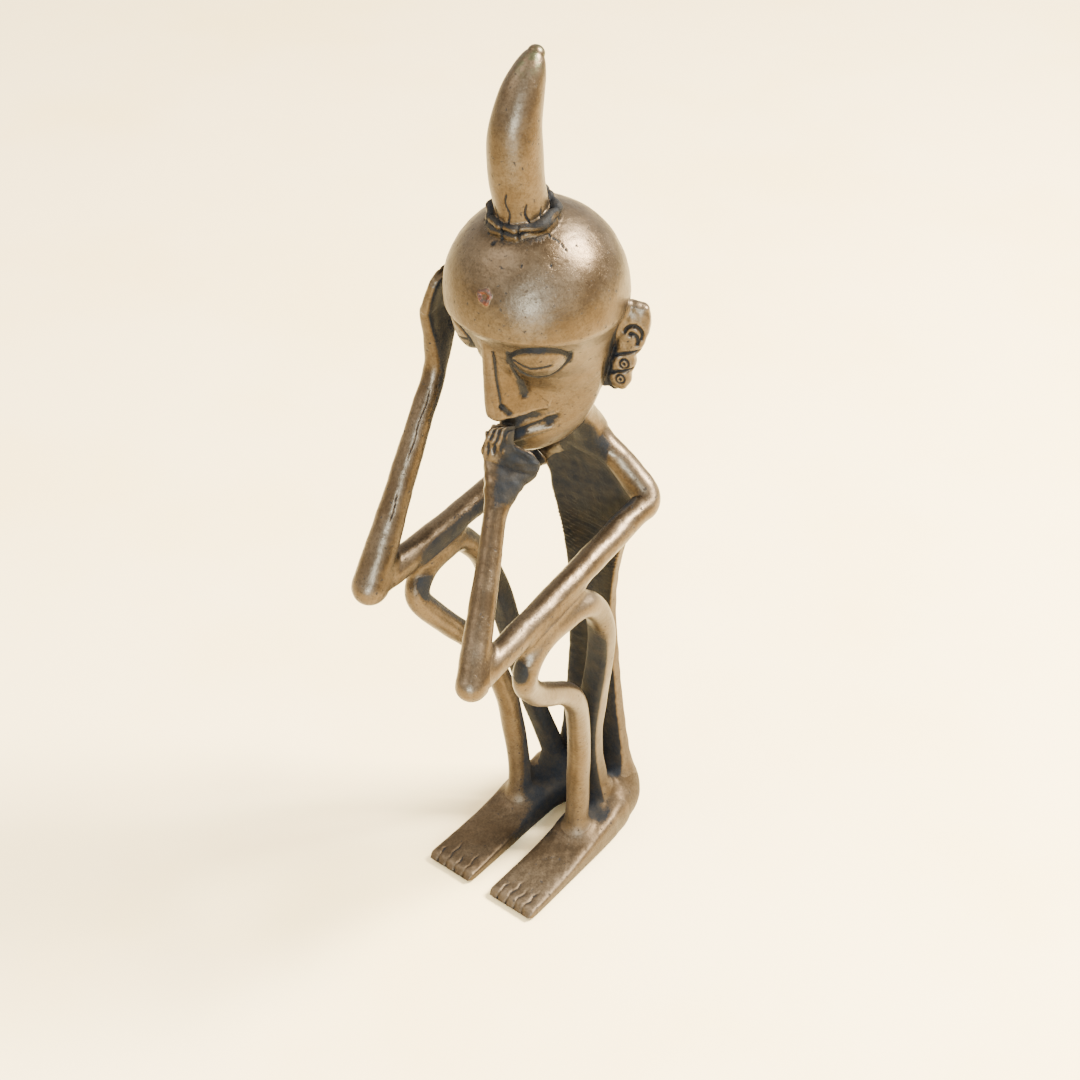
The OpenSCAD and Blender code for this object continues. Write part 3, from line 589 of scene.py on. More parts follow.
outline = np.clip(outline, 0, 1.2) * in_reach
inside = ((b < upper) & (b > lower)) * in_reach
swell_eye = (np.clip((upper - b) * (b - lower), 0, None) / 40.0) ** 0.75 * inside
eye_corners = np.exp(-((np.abs(a) - 0.95) / 0.14) ** 2) * (np.abs(b) < 3.0)
stain = (np.exp(-((b - lower) / 2.1) ** 2) + 0.5 * np.exp(-((b - upper) / 1.2) ** 2)
         + 0.8 * eye_corners)
stain = np.clip(stain, 0, 1) * ramp(-np.abs(a), -1.15, -1.0) * facing
from_front = mirrored * [1.0, 0.0, 1.0]
shut = cut_line(from_front, [[8.4, 0, -10.6], [11.8, 0, -11.5], [15.8, 0, -10.3]], 0.36) * facing
tear = cut_line(from_front, [[6.2, 0, -14.2], [5.9, 0, -19.0], [6.4, 0, -27.0]], 0.5) * facing
tear = np.maximum(tear, cut_line(from_front, [[6.2, 0, -21.5], [6.4, 0, -26.0]], 0.85) * facing)
mouth_line = cut_line(mirrored, [[0, -15.2, -41.3], [5, -10.9, -39.7], [9.6, -6.2, -37.2]], 0.62)
mouth_end = cut_line(mirrored, [[9.4, -6.0, -37.6], [11.0, -4.4, -37.2]], 1.3)
ridge_line = cut_line(from_front, [[2.3, 0, -10.0], [2.5, 0, -20.0], [2.9, 0, -30.0]], 0.3) * facing
nostril = cut_line(from_front, [[2.9, 0, -29.0], [4.0, 0, -32.2]], 0.5) * facing
# how far each line was cut in, and the eyeballs pressed out, in mm
move = (2.6 * swell_eye - 0.75 * outline - 0.5 * shut - 0.7 * tear
        - 0.9 * np.maximum(mouth_line, mouth_end) - 0.5 * ridge_line - 0.6 * nostril)
blemish = 0.10 * waver(head_grid, 15.0, 21) + 0.03 * waver(head_grid, 4.0, 22)
head_grid = head_grid + n * (move + blemish)[..., None]
# painted shade under the nose, where it faces down, and in the groove above the upper lip
shade_under_nose = (ramp(-n[..., 2], 0.45, 0.8) * ramp(nose_height, 0.1, 0.6)
              + np.exp(-((rel[..., 2] + 34.9) / 1.1) ** 2)
              * ramp(-mirrored[..., 0], -9.2, -6.4) * ramp(-rel[..., 1], 4.0, 8.0))
shade_under_nose = shade_under_nose * ramp(-rel[..., 2], 30.0, 33.0)
# a crack runs down from the collar, with a few pits beside it
crack = cut_line(rel, [[7.0, -6.9, 24.2], [8.8, -6.2, 23.7], [10.6, -7.2, 22.6],
                       [13.0, -6.4, 21.6], [15.5, -6.4, 19.9]], 0.22)
crack = crack * (np.sin(rel[..., 0] * 5.0) > -0.55)
pit_marks = sum(np.exp(-((rel - [x, y, z]) ** 2).sum(-1) / size**2) for x, y, z, size in (
    (-1.5, -16.3, 20.2, 0.55), (-4.6, -14.1, 21.3, 0.45), (0.4, -14.6, 21.6, 0.4),
    (-9.5, -10.0, 22.0, 0.35), (9.0, -17.0, 17.5, 0.3), (15.0, -12.0, 17.6, 0.35)))
head_grid = head_grid - n * (0.30 * crack + 0.5 * np.clip(pit_marks, 0, 1))[..., None]
from_horn = np.hypot(rel[..., 0], rel[..., 1] + 5.6)
collar_grime = ramp(-from_horn, -13.0, -9.5) * ramp(rel[..., 2], 18.0, 21.0)
# painted shade on the head in the gap behind each ear
ear_gap_shade = cut_line(mirrored, [[20.0, 7.5, -28.5], [21.2, 7.5, -20.0], [23.2, 7.5, -9.0]], 2.3)
# head_dark: patina in the cut lines, crack and pits, grime at the collar, and painted shade under the
# nose and behind the ears
head_dark = (0.9 * crack + pit_marks + 0.42 * collar_grime + 0.85 * ear_gap_shade
             + 1.0 * outline + 0.95 * shut + 0.72 * stain + 0.12 * swell_eye
             + 0.9 * tear + 0.6 * ridge_line + 0.9 * nostril
             + 1.0 * shade_under_nose + 1.0 * mouth_line + 1.0 * mouth_end)
press("head", head_grid, nodes={"head_shell": (0, len(head_grid) - 1)},
      dark=np.clip(head_dark, 0, 1), blend=3.0)
within_lids = (in_reach > 0.3) & (b < upper + 0.7) & (b > lower - 0.8)
head_parts = {
    "nose": nose_height > 0.25,
    "mouth": (lip_height > 0.2) & (nose_height < 0.2),
    "left_eye": within_lids & (rel[..., 0] > 0),
    "right_eye": within_lids & (rel[..., 0] < 0),
}

# ----------------------------------------
# Ears: thin plates with three coiled lobes, leaning out from the head. Each was
# joined to it by a lump at the top and a touch below, so a gap is left, painted dark as shade.

EAR_TURN = math.radians(26.0)
for name, hand_side in (("left_ear", 1.0), ("right_ear", -1.0)):
    rows = np.array([
        [21.6, -5.5, 187.8, 2.4, 1.6], [22.0, -5.6, 190.0, 3.3, 2.1], [22.4, -5.6, 192.8, 2.9, 2.0],
        [22.9, -5.6, 195.4, 3.5, 2.2], [23.3, -5.6, 198.4, 2.9, 2.0], [24.2, -5.6, 201.6, 3.9, 2.2],
        [25.0, -5.6, 206.0, 4.7, 2.3], [25.6, -5.6, 210.4, 4.6, 2.3], [26.0, -5.4, 213.2, 3.5, 2.0],
    ])
    line = domed(smooth_line(rows, step=0.28), start=0.9, end=0.9)
    grid = rod(line, around=110, side=(1.0, 0.0, 0.0), square=3.0)
    x, z = grid[..., 0], grid[..., 2]
    flat = np.stack([x, 0 * x - 8.0, z], axis=2)
    turn = np.linspace(0.0, 2 * math.pi, 15)
    bow = np.linspace(2.9, -0.5, 12)
    outer_coil = np.stack(
        [25.6 + 2.5 * np.cos(bow), 0 * bow - 8, 205.6 + 2.9 * np.sin(bow)], axis=1)
    bow = bow[3:]
    inner_coil = np.stack(
        [25.4 + 1.6 * np.cos(bow), 0 * bow - 8, 203.6 + 2.2 * np.sin(bow)], axis=1)
    cut = np.maximum(cut_line(flat, outer_coil, 0.48), cut_line(flat, inner_coil, 0.6))
    for cx, cz, r in ((23.2, 195.6, 1.5), (22.2, 190.4, 1.5)):
        ring = np.stack([cx + 0.85 * r * np.cos(turn), 0 * turn - 8, cz + r * np.sin(turn)], axis=1)
        cut = np.maximum(cut, 0.6 * cut_line(flat, ring, 0.36))
        cut = np.maximum(cut, 0.7 * np.exp(-(((x - cx) ** 2 + (z - cz) ** 2) / 0.25)))
    for z_gap in (198.6, 193.0):
        cut = np.maximum(cut, 0.8 * np.exp(-((z - z_gap - 0.3 * (x - 22)) / 0.5) ** 2))
    normal = outward(grid)
    cut = cut * ramp(-normal[..., 1], 0.2, 0.8)
    grid = grid - normal * (0.8 * cut - 0.14 * waver(grid, 4.0, 31))[..., None]
    # patina in the cut coils; painted shade on the plate's side that faces the head
    dark = 0.85 * cut + 0.5 * ramp(-normal[..., 0], 0.3, 0.9)
    # a ragged web, set back, ties the plate to the head down its inner edge; it is painted fully dark
    # as shade in the gap
    rows = np.array([
        [19.0, -4.6, 186.5, 3.4, 0.8], [20.4, -4.6, 192.0, 3.6, 1.0], [21.6, -4.6, 198.0, 3.4, 1.0],
        [23.0, -4.6, 205.0, 3.4, 1.1], [24.0, -4.6, 211.0, 3.0, 1.3],
    ])
    web = rod(domed(smooth_line(rows, step=0.4), start=0.8, end=0.8), around=60)
    web = web + outward(web) * (0.3 * waver(web, 2.6, 33))[..., None]
    for label, part, shade in ((name, grid, np.clip(dark, 0, 1)), (name + "_web", web, 1.1)):
        # the whole ear is turned a little to the front
        turned = part.copy()
        c, s = math.cos(EAR_TURN), math.sin(EAR_TURN)
        turned[..., 0] = 20.0 + (part[..., 0] - 20.0) * c - (part[..., 1] + 5.0) * s
        turned[..., 1] = -5.0 + (part[..., 0] - 20.0) * s + (part[..., 1] + 5.0) * c
        turned[..., 0] *= hand_side
        press(label, turned, dark=shade, blend=1.6, nodes={name: (0, len(part) - 1)})

# ----------------------------------------
# Horn: a solid tapered rod let into a hole in the crown. It leans forward and
# its tip turns back up. Its foot has shrinkage cracks, and its tip is a little green.

HORN_TILT = math.radians(13.0)
horn_axis = np.array([0.0, -math.sin(HORN_TILT), math.cos(HORN_TILT)])
horn_foot = SKULL + horn_axis * 24.4
rows = np.array([
    [*(horn_foot - horn_axis * 1.4), 7.8, 7.8], [*(horn_foot + horn_axis * 5.6), 7.5, 7.5],
    [*(horn_foot + [0.1, -3.4, 17.2]), 7.5, 7.5], [*(horn_foot + [0.3, -3.6, 26.5]), 7.2, 7.2],
    [*(horn_foot + [0.5, -1.3, 35.4]), 6.2, 6.2], [*(horn_foot + [0.7, 1.6, 41.6]), 4.7, 4.7],
    [*(horn_foot + [0.8, 3.4, 44.8]), 3.4, 3.4], [*(horn_foot + [0.9, 4.3, 46.2]), 2.4, 2.4],
])
line = domed(smooth_line(rows, step=0.4), end=0.9)
grid = rod(line, around=150)
normal = outward(grid)
height = (grid - horn_foot) @ horn_axis
around = np.arctan2(grid[..., 0], -(grid[..., 1] - line[:, None, 1]))
cracks = np.zeros_like(height)
# each crack's angle round the horn, and where it starts and ends above the foot
crack_places = ((0.28, 2, 15), (0.95, 2, 11), (-0.35, 3, 9), (2.3, 2, 12), (-1.8, 2, 10),
                (1.5, 3, 8))
for place, low_end, high_end in crack_places:
    wander = 0.05 * np.sin(height * 0.9 + place * 5)
    fade = ramp(height, low_end, low_end + 1) * (1 - ramp(height, high_end - 3, high_end))
    cracks += np.exp(-((around - place - wander) / 0.035) ** 2) * fade
grid = grid + normal * (0.16 * waver(grid, 11.0, 41) - 0.45 * cracks)[..., None]
press("horn", grid, dark=np.clip(cracks, 0, 1), blend=1.5)

# ----------------------------------------
# Collar: two thin rolls of wax wound round the foot of the horn and pinched
# down unevenly, so that dirt lies between them.

COLLAR_R = 9.1
PINCHES = (4.1, 4.75, 5.3, 0.4, 1.9, 2.8)     # angles round the horn, where a nail went in
for name, level_up, thick, seed in (("lower_collar", 25.2, 1.25, 51),
                                    ("upper_collar", 27.6, 1.15, 52)):
    v = np.linspace(0, 2 * math.pi, 300, endpoint=False)[:, None]
    u = np.linspace(0, 2 * math.pi, 40, endpoint=False)[None]
    side = np.array([1.0, 0, 0])
    ahead = np.cross(horn_axis, side)
    circle = np.stack([np.cos(v) * 9, np.sin(v) * 9, 0 * v], axis=2)
    wobble = waver(circle, 7.0, seed)
    nick = sum(np.exp(-(((v - p + math.pi) % (2 * math.pi) - math.pi) / 0.045) ** 2)
               for p in PINCHES)
    r = thick * (1 + 0.22 * wobble - 0.35 * nick)
    out = COLLAR_R - 0.5 + 0.45 * wobble + r * np.cos(u)
    up = level_up + 0.35 * waver(circle + [0, 0, 5], 12.0, seed + 5) + 1.05 * r * np.sin(u)
    grid = (SKULL + horn_axis * up[..., None] + side * (out * np.cos(v))[..., None]
            + ahead * (out * np.sin(v))[..., None])
    n = outward(np.vstack([grid[-1:], grid, grid[:1]]))[1:-1]
    grid = grid + n * (0.12 * waver(grid, 2.2, seed + 9))[..., None]
    between = ramp(np.abs(np.sin(u)), 0.35, 0.9)
    press(name, grid, dark=0.22 + 0.6 * np.clip(nick, 0, 1) + 0.55 * between + 0.25 * wobble,
          blend=1.0)
    wax[name]["loop"] = True

# ----------------------------------------
# Pin: the end of a copper core pin, which held the clay core in the mould. It
# was filed off level with the forehead and has blistered red.

PIN_TURN, PIN_RISE = math.radians(5.0), math.radians(20.0)
pin_way = unit([math.sin(PIN_TURN), -math.cos(PIN_TURN) * math.cos(PIN_RISE), math.sin(PIN_RISE)])
r = np.linspace(0.0, 1.0, 26)[1:, None]
u = np.linspace(0, 2 * math.pi, 60, endpoint=False)[None]
side = unit(np.cross(pin_way, [0, 0, 1.0]))
up = np.cross(side, pin_way)
edge = 2.5 * (1 + 0.10 * np.sin(3 * u + 1) + 0.07 * np.sin(5 * u))
flat = side * (edge * r * np.cos(u))[..., None] + up * (edge * r * np.sin(u))[..., None]
height = (0.45 * (1 - r**6) - 0.55 * np.exp(-((r - 0.2) / 0.22) ** 2)
          + 0.25 * np.exp(-((r - 0.72) / 0.2) ** 2))
height = height + 0.12 * waver(flat, 1.6, 61) - 0.9 * r**12
sphere = np.sqrt(SKULL_R**2 - (edge * r) ** 2)
grid = SKULL + flat + pin_way * (sphere + height)[..., None]
press("core_pin", grid, dark=0.5 * np.exp(-((r - 0.2) / 0.25) ** 2) + 0 * u, blend=0.4)

# ----------------------------------------
# Casting: the wax pieces are smoothed into each other where they meet, so one
# pour of bronze makes them one body. Each sub-part keeps its own name.

def skin_normals(w, grid):
    """Unit normals of a laid-by grid; a closed loop is joined end to end first."""
    padded = np.concatenate([grid[-1:], grid, grid[:1]]) if w["loop"] else grid
    round_ring = np.roll(padded, -1, axis=1) - np.roll(padded, 1, axis=1)
    n = unit(np.cross(round_ring, np.gradient(padded, axis=0)))
    return n[1:-1] if w["loop"] else n


for w in wax.values():
    w["normal"] = skin_normals(w, w["grid"])
    if ((w["grid"] - w["grid"].mean(axis=1, keepdims=True)) * w["normal"]).sum() < 0:
        # the rings run the wrong way round, so the skin would face inwards
        w["grid"], w["dark"] = w["grid"][:, ::-1].copy(), w["dark"][:, ::-1].copy()
        w["normal"] = skin_normals(w, w["grid"])


def hollow(w, steps):
    """How far the mean of the four neighbours, a few steps off, stands above each
    point along its normal: more than nothing in a groove, less on an edge."""
    g = w["grid"]
    ends = "wrap" if w["loop"] else "edge"
    g2 = np.pad(g, ((steps, steps), (0, 0), (0, 0)), mode=ends)
    mean = (g2[2 * steps:] + g2[:-2 * steps]
            + np.roll(g, steps, axis=1) + np.roll(g, -steps, axis=1)) / 4
    return ((mean - g) * w["normal"]).sum(-1)


NEAR_BATCH, SHADE_BATCH = 1500, 600       # points worked on at once, to spare memory


def height_over(points, other, other_normal):
    """Signed distance of points from a surface given as a cloud with normals: the
    nearest cloud point's plane is used near the surface and the gap itself far off."""
    heights = np.empty(len(points))
    way = np.empty((len(points), 3))
    cloud = other.astype(np.float32)
    size = (cloud**2).sum(1)
    for k in range(0, len(points), NEAR_BATCH):
        some = slice(k, k + NEAR_BATCH)
        near = np.argmin(size[None] - 2 * points[some].astype(np.float32) @ cloud.T, axis=1)
        gap = points[some] - other[near]
        plane = (gap * other_normal[near]).sum(1)
        far = np.linalg.norm(gap, axis=1)
        heights[some] = np.where(far > 2.5 * np.abs(plane) + 1.0, np.sign(plane) * far, plane)
        way[some] = other_normal[near]
    return heights, way


def melt(a, b, k):
    """How far the points of a move out to meet b: t where the soft minimum of t and
    the height over b at that place is nothing. Also the way the fillet faces there."""
    shape = a["grid"].shape[:2]
    lift, facing = np.zeros(shape).reshape(-1), a["normal"].reshape(-1, 3).copy()
    p, q = a["grid"].reshape(-1, 3), b["grid"].reshape(-1, 3)
    low, high = np.maximum(p.min(0), q.min(0)) - k, np.minimum(p.max(0), q.max(0)) + k
    if (low > high).any():
        return lift.reshape(shape), a["normal"]
    use = np.all((p > low) & (p < high), axis=1)
    also = np.all((q > low - 1) & (q < high + 1), axis=1)
    if use.sum() < 3 or also.sum() < 3:
        return lift.reshape(shape), a["normal"]
    n = a["normal"].reshape(-1, 3)[use]
    d, way = height_over(p[use], q[also], b["normal"].reshape(-1, 3)[also])
    lean = (n * way).sum(1)
    t = np.zeros(len(d))
    for _ in range(12):
        t = np.clip(t - 0.7 * soft_min(t, d + t * lean, k), 0, k / 2)
    share = np.clip(0.5 + 0.5 * (d + t * lean - t) / k, 0, 1)[:, None]
    facing[use] = unit(n * share + way * (1 - share))
    # past the middle of the fillet the other piece's skin is the one on top
    t = t - 0.6 * np.clip(t - (d + t * lean), 0, 1.2)
    lift[use] = np.where(np.abs(d) < k, np.maximum(t, 0), 0)
    return lift.reshape(shape), facing.reshape(*shape, 3)


FILLET_LIMIT = 2.6                        # mm, the most that a fillet may lift the skin
RUBS = 5                                  # times that the lift is averaged with its neighbours
for w in wax.values():
    w["groove"], w["worn"] = hollow(w, 2), -hollow(w, 4)
names = list(wax)
for first_name in names:
    a = wax[first_name]
    total, facing = np.zeros(a["grid"].shape[:2]), a["normal"].copy()
    for second_name in names:
        if first_name != second_name:
            b = wax[second_name]
            lift, way = melt(a, b, min(a["blend"], b["blend"]))
            more = lift > total
            total = np.maximum(total, lift)
            facing[more] = way[more]
    # the fillets are rubbed smooth: the lift and the way it faces are averaged with the
    # neighbouring points a few times
    total, soft = np.clip(total, 0, FILLET_LIMIT), facing
    ends = "wrap" if a["loop"] else "edge"
    for _ in range(RUBS):
        tall = np.pad(total, ((1, 1), (0, 0)), mode=ends)
        wide = np.pad(soft, ((1, 1), (0, 0), (0, 0)), mode=ends)
        total = (tall[2:] + tall[:-2] + total
                 + np.roll(total, 1, 1) + np.roll(total, -1, 1)) / 5
        soft = unit(wide[2:] + wide[:-2] + soft
                    + np.roll(soft, 1, 1) + np.roll(soft, -1, 1))
    share = ramp(total, 0.01, 0.2)[..., None]
    a["melted"] = a["grid"] + a["normal"] * total[..., None]
    a["facing"] = unit(facing * (1 - share) + soft * share)
    # it stands flat on the floor, and the seat's back was filed level
    a["melted"][..., 2] = np.maximum(a["melted"][..., 2], 0.0)
    a["melted"][..., 1] = np.minimum(a["melted"][..., 1], SEAT_BACK)
for w in wax.values():
    w["grid"], w["normal"] = w["melted"], w["facing"]


def thin(w, every):
    """Every so many rings and columns of a grid: places, normals and the area each
    stands for."""
    g, n = w["grid"], w["normal"]
    round_ring = (np.roll(g, -1, 1) - np.roll(g, 1, 1)) / 2
    area = np.linalg.norm(np.cross(np.gradient(g, axis=0), round_ring), axis=-1)
    pick = (slice(every // 2, None, every), slice(None, None, every))
    return g[pick].reshape(-1, 3), n[pick].reshape(-1, 3), area[pick].reshape(-1) * every * every


BIG_GRID = 40000                          # points; a grid above this is thinned more
blockers = [thin(w, 5 if w["grid"][..., 0].size < BIG_GRID else 8) for w in wax.values()]
block_at, block_n, block_area = (
    np.concatenate([b[k] for b in blockers]).astype(np.float32) for k in range(3))


def shelter(points, normals):
    """The part of the half space over each point that other skin fills: the sum, over
    patches that face it, of area times both cosines over pi times distance squared."""
    total = np.zeros(len(points))
    for k in range(0, len(points), SHADE_BATCH):
        some = slice(k, k + SHADE_BATCH)
        p, n = points[some].astype(np.float32), normals[some].astype(np.float32)
        gap = block_at[None] - p[:, None]
        dist2 = (gap**2).sum(-1) + 1.5
        near = np.maximum((gap * n[:, None]).sum(-1), 0)
        far = np.maximum(-(gap * block_n[None]).sum(-1), 0)
        total[some] = (block_area * near * far / (math.pi * dist2**2)).sum(1)
    return total


# how much other skin hides each point from the sky; used below as painted shade
for w in wax.values():
    g = w["grid"]
    every = 4
    pick = (slice(None, None, every), slice(None, None, every))
    coarse = shelter(g[pick].reshape(-1, 3), w["normal"][pick].reshape(-1, 3))
    coarse = coarse.reshape(g[pick].shape[:2])
    wide = np.concatenate([coarse, coarse[:, :1]], axis=1)
    cols = np.arange(g.shape[1]) / every
    c0 = np.minimum(cols.astype(int), wide.shape[1] - 2)
    fine = wide[:, c0] + (wide[:, c0 + 1] - wide[:, c0]) * np.minimum(cols - c0, 1)[None]
    rows_at = np.minimum(np.arange(g.shape[0]) / every, len(coarse) - 1)
    r0 = np.minimum(rows_at.astype(int), max(len(coarse) - 2, 0))
    r1 = np.minimum(r0 + 1, len(coarse) - 1)
    w["shelter"] = fine[r0] + (fine[r1] - fine[r0]) * np.clip(rows_at - r0, 0, 1)[:, None]


def quads_between(rows_n, cols_n, loop=False):
    """The corners of each face of a grid that is closed round its rings: a point, the
    next one on its ring, and those two on the next ring, in that order round."""
    i = np.arange(rows_n if loop else rows_n - 1)[:, None]
    j = np.arange(cols_n)[None]
    nxt_i, nxt_j = (i + 1) % rows_n, (j + 1) % cols_n
    corners = np.broadcast_arrays(i * cols_n + j, i * cols_n + nxt_j,
                                  nxt_i * cols_n + nxt_j, nxt_i * cols_n + j)
    return np.stack(corners, axis=-1).reshape(-1, 4)


def mesh_of(parts):
    """One mesh from grids [points, normals, values, loop]: quads between rings, and a
    fan of triangles to a middle point over each open end, so each is closed."""
    verts, norms, vals, quads, fans, start = [], [], [], [], [], 0
    for g, n, v, loop in parts:
        rows_n, cols_n = g.shape[:2]
        quads.append(quads_between(rows_n, cols_n, loop) + start)
        verts.append(g.reshape(-1, 3))
        norms.append(n.reshape(-1, 3))
        vals.append(v.reshape(-1, v.shape[-1]))
        total = rows_n * cols_n
        if not loop:
            for row, flip in ((0, True), (rows_n - 1, False)):
                along = unit(g[row].mean(0) - g[1 if row == 0 else row - 1].mean(0))
                verts.append(g[row].mean(0)[None])
                norms.append(along[None])
                vals.append(v[row].mean(0)[None])
                ring = row * cols_n + np.arange(cols_n)
                nxt = row * cols_n + (np.arange(cols_n) + 1) % cols_n
                middle = ring * 0 + total
                fan = [nxt, ring, middle] if flip else [ring, nxt, middle]
                fans.append(np.stack(fan, axis=1) + start)
                total += 1
        start += total
    if not fans:
        fans.append(np.zeros((0, 3), int))
    return [np.concatenate(rows) for rows in (verts, norms, vals, quads, fans)]


def stand(name, data):
    """A mesh, a lamp or a camera put into the scene as an object."""
    thing = bpy.data.objects.new(name, data)
    bpy.context.scene.collection.objects.link(thing)
    return thing


def cast(name, points, normals, values, quads, fans, slot):
    """Put one finished piece into the scene, in metres, with smooth normals and its
    two values at each point: how dark it is from dirt and painted shade, and how worn.
    Every piece passes through here, so this is where it is given its body, the CAD part
    it covers and its slot."""
    mesh = bpy.data.meshes.new(name)
    metres = (points + figure_origin) / 1000.0
    mesh.from_pydata(metres.tolist(), [], quads.tolist() + fans.tolist())
    mesh.shade_smooth()
    mesh.normals_split_custom_set_from_vertices(normals.tolist())
    for k, word in enumerate(("dirt_and_shade", "wear")):
        layer = mesh.attributes.new(word, "FLOAT", "POINT")
        layer.data.foreach_set("value", values[:, k].astype(np.float32))
    piece = stand(name, mesh)
    piece.data.materials.append(metals[slot])
    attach(piece, "root")
    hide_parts(name)


# ----------------------------------------
# Finish: rubbed bronze with old dirt where no finger reaches and painted shade where
# other parts hide the surface, a darker bronze where it was seldom rubbed, red copper
# for the pin and fired clay for the hidden core.

def join(value, node, label):
    """Link a socket to one input of a node."""
    node.id_data.links.new(value, node.inputs[label])


def nodes_in(tree):
    """Short ways to add a node, and to join sockets, in one node tree."""
    def add(kind, **settings):
        node = tree.nodes.new(kind)
        for key, value in settings.items():
            if hasattr(node, key):
                setattr(node, key, value)
            else:
                node.inputs[key.replace("_", " ")].default_value = value
        return node

    def feed(socket, value):
        if isinstance(value, tuple):
            socket.default_value = (*value, 1.0)
        elif isinstance(value, (int, float)):
            socket.default_value = value
        elif value is not None:
            tree.links.new(value, socket)

    def maths(kind, first, second=None, third=None, clamp=False):
        node = tree.nodes.new("ShaderNodeMath")
        node.operation, node.use_clamp = kind, clamp
        for k, value in enumerate((first, second, third)):
            feed(node.inputs[k], value)
        return node.outputs[0]

    def blend_colour(amount, first, second, kind="MIX"):
        node = tree.nodes.new("ShaderNodeMix")
        node.data_type, node.blend_type = "RGBA", kind
        feed(node.inputs["Factor"], amount)
        feed(node.inputs[6], first)
        feed(node.inputs[7], second)
        return node.outputs[2]

    def s_curve(value, low, high):
        node = tree.nodes.new("ShaderNodeMapRange")
        node.interpolation_type = "SMOOTHSTEP"
        for k, given in enumerate((value, low, high)):
            feed(node.inputs[k], given)
        return node.outputs[0]

    def millimetres():
        place = tree.nodes.new("ShaderNodeTexCoord")
        scale = tree.nodes.new("ShaderNodeVectorMath")
        scale.operation = "SCALE"
        scale.inputs["Scale"].default_value = 1000.0
        join(place.outputs["Object"], scale, 0)
        return scale.outputs[0]

    def cloud(where, scale, detail=3.0, rough=0.55):
        node = add("ShaderNodeTexNoise", Scale=scale, Detail=detail, Roughness=rough)
        join(where, node, "Vector")
        return node.outputs[0]

    return add, maths, blend_colour, s_curve, millimetres, cloud


def effect(name, takes, gives):
    """A shader node group with named inputs and outputs."""
    tree = bpy.data.node_groups.new(name, "ShaderNodeTree")
    kinds = {"f": "NodeSocketFloat", "c": "NodeSocketColor", "v": "NodeSocketVector"}
    for label, kind, start in takes:
        socket = tree.interface.new_socket(label, in_out="INPUT", socket_type=kinds[kind])
        socket.default_value = start
    for label, kind in gives:
        tree.interface.new_socket(label, in_out="OUTPUT", socket_type=kinds[kind])
    return tree, tree.nodes.new("NodeGroupInput"), tree.nodes.new("NodeGroupOutput")


# old dirt and painted shade: dark where no finger reaches and where other parts hide the surface, with
# a ragged edge
dirt_and_shade_tree, taken, given = effect(
    "old dirt and painted shade", [("Dirt and shade", "f", 0.0), ("Reach", "f", 0.0)],
    [("Mask", "f"), ("Stain and shade", "f"), ("Speckle", "f")])
add, maths, blend_colour, s_curve, millimetres, cloud = nodes_in(dirt_and_shade_tree)
mm = millimetres()
ragged = maths("MULTIPLY", maths("SUBTRACT", cloud(mm, 0.25, 4.0), 0.5), 0.55)
fine = maths("MULTIPLY", maths("SUBTRACT", cloud(mm, 1.5, 5.0, 0.65), 0.5), 0.75)
total = maths("ADD", maths("ADD", taken.outputs["Dirt and shade"], taken.outputs["Reach"]),
              maths("ADD", ragged, fine))
join(s_curve(total, 0.30, 0.62), given, "Mask")
join(s_curve(total, -0.12, 0.42), given, "Stain and shade")
specks = s_curve(cloud(mm, 2.4, 2.0), 0.66, 0.72)
patches = s_curve(cloud(mm, 0.16, 2.0), 0.48, 0.62)
join(maths("MULTIPLY", specks, patches), given, "Speckle")

# cast skin: pits and scratches of the metal's surface, as a height and a mask
skin_tree, taken, given = effect(
    "cast skin", [("Pitting", "f", 1.0)], [("Height", "f"), ("Pits", "f"), ("Tone", "f")])
add, maths, blend_colour, s_curve, millimetres, cloud = nodes_in(skin_tree)
mm = millimetres()
cells = add("ShaderNodeTexVoronoi", Scale=0.42)
bent = add("ShaderNodeTexNoise", Scale=0.8, Detail=3.0)
join(mm, bent, "Vector")
shifted = add("ShaderNodeVectorMath", operation="MULTIPLY_ADD")
join(bent.outputs["Color"], shifted, 0)
shifted.inputs[1].default_value = (2.2, 2.2, 2.2)
join(mm, shifted, 2)
join(shifted.outputs[0], cells, "Vector")
hole = maths("SUBTRACT", 1.0, s_curve(cells.outputs["Distance"], 0.08, 0.20))
some = s_curve(cloud(mm, 0.14, 2.0), 0.42, 0.52)
slant = skin_tree.nodes.new("ShaderNodeMapping")
slant.inputs["Rotation"].default_value = (0.3, 1.1, 0.9)
slant.inputs["Scale"].default_value = (0.16, 0.62, 0.62)
join(shifted.outputs[0], slant, "Vector")
dashes = add("ShaderNodeTexVoronoi", Scale=1.0)
join(slant.outputs[0], dashes, "Vector")
nick = maths("MULTIPLY", maths("SUBTRACT", 1.0, s_curve(dashes.outputs["Distance"], 0.10, 0.17)),
             s_curve(cloud(mm, 0.11, 2.0), 0.50, 0.58))
pits = maths("MAXIMUM", maths("MULTIPLY", hole, some), nick)
pits = maths("MULTIPLY", pits, taken.outputs["Pitting"])
stretch = skin_tree.nodes.new("ShaderNodeMapping")
stretch.inputs["Rotation"].default_value = (0.5, 0.35, 0.6)
stretch.inputs["Scale"].default_value = (0.12, 2.2, 2.2)
join(mm, stretch, "Vector")
scratch = s_curve(cloud(stretch.outputs[0], 1.4, 2.0), 0.60, 0.68)
grain = cloud(mm, 2.6, 4.0, 0.6)
rolling = cloud(mm, 0.45, 2.0)
height = maths("ADD", maths("MULTIPLY", grain, 0.22), maths("MULTIPLY", rolling, 0.9))
height = maths("SUBTRACT", height, maths("MULTIPLY", pits, 1.0))
height = maths("SUBTRACT", height, maths("MULTIPLY", scratch, 0.10))
join(height, given, "Height")
join(pits, given, "Pits")
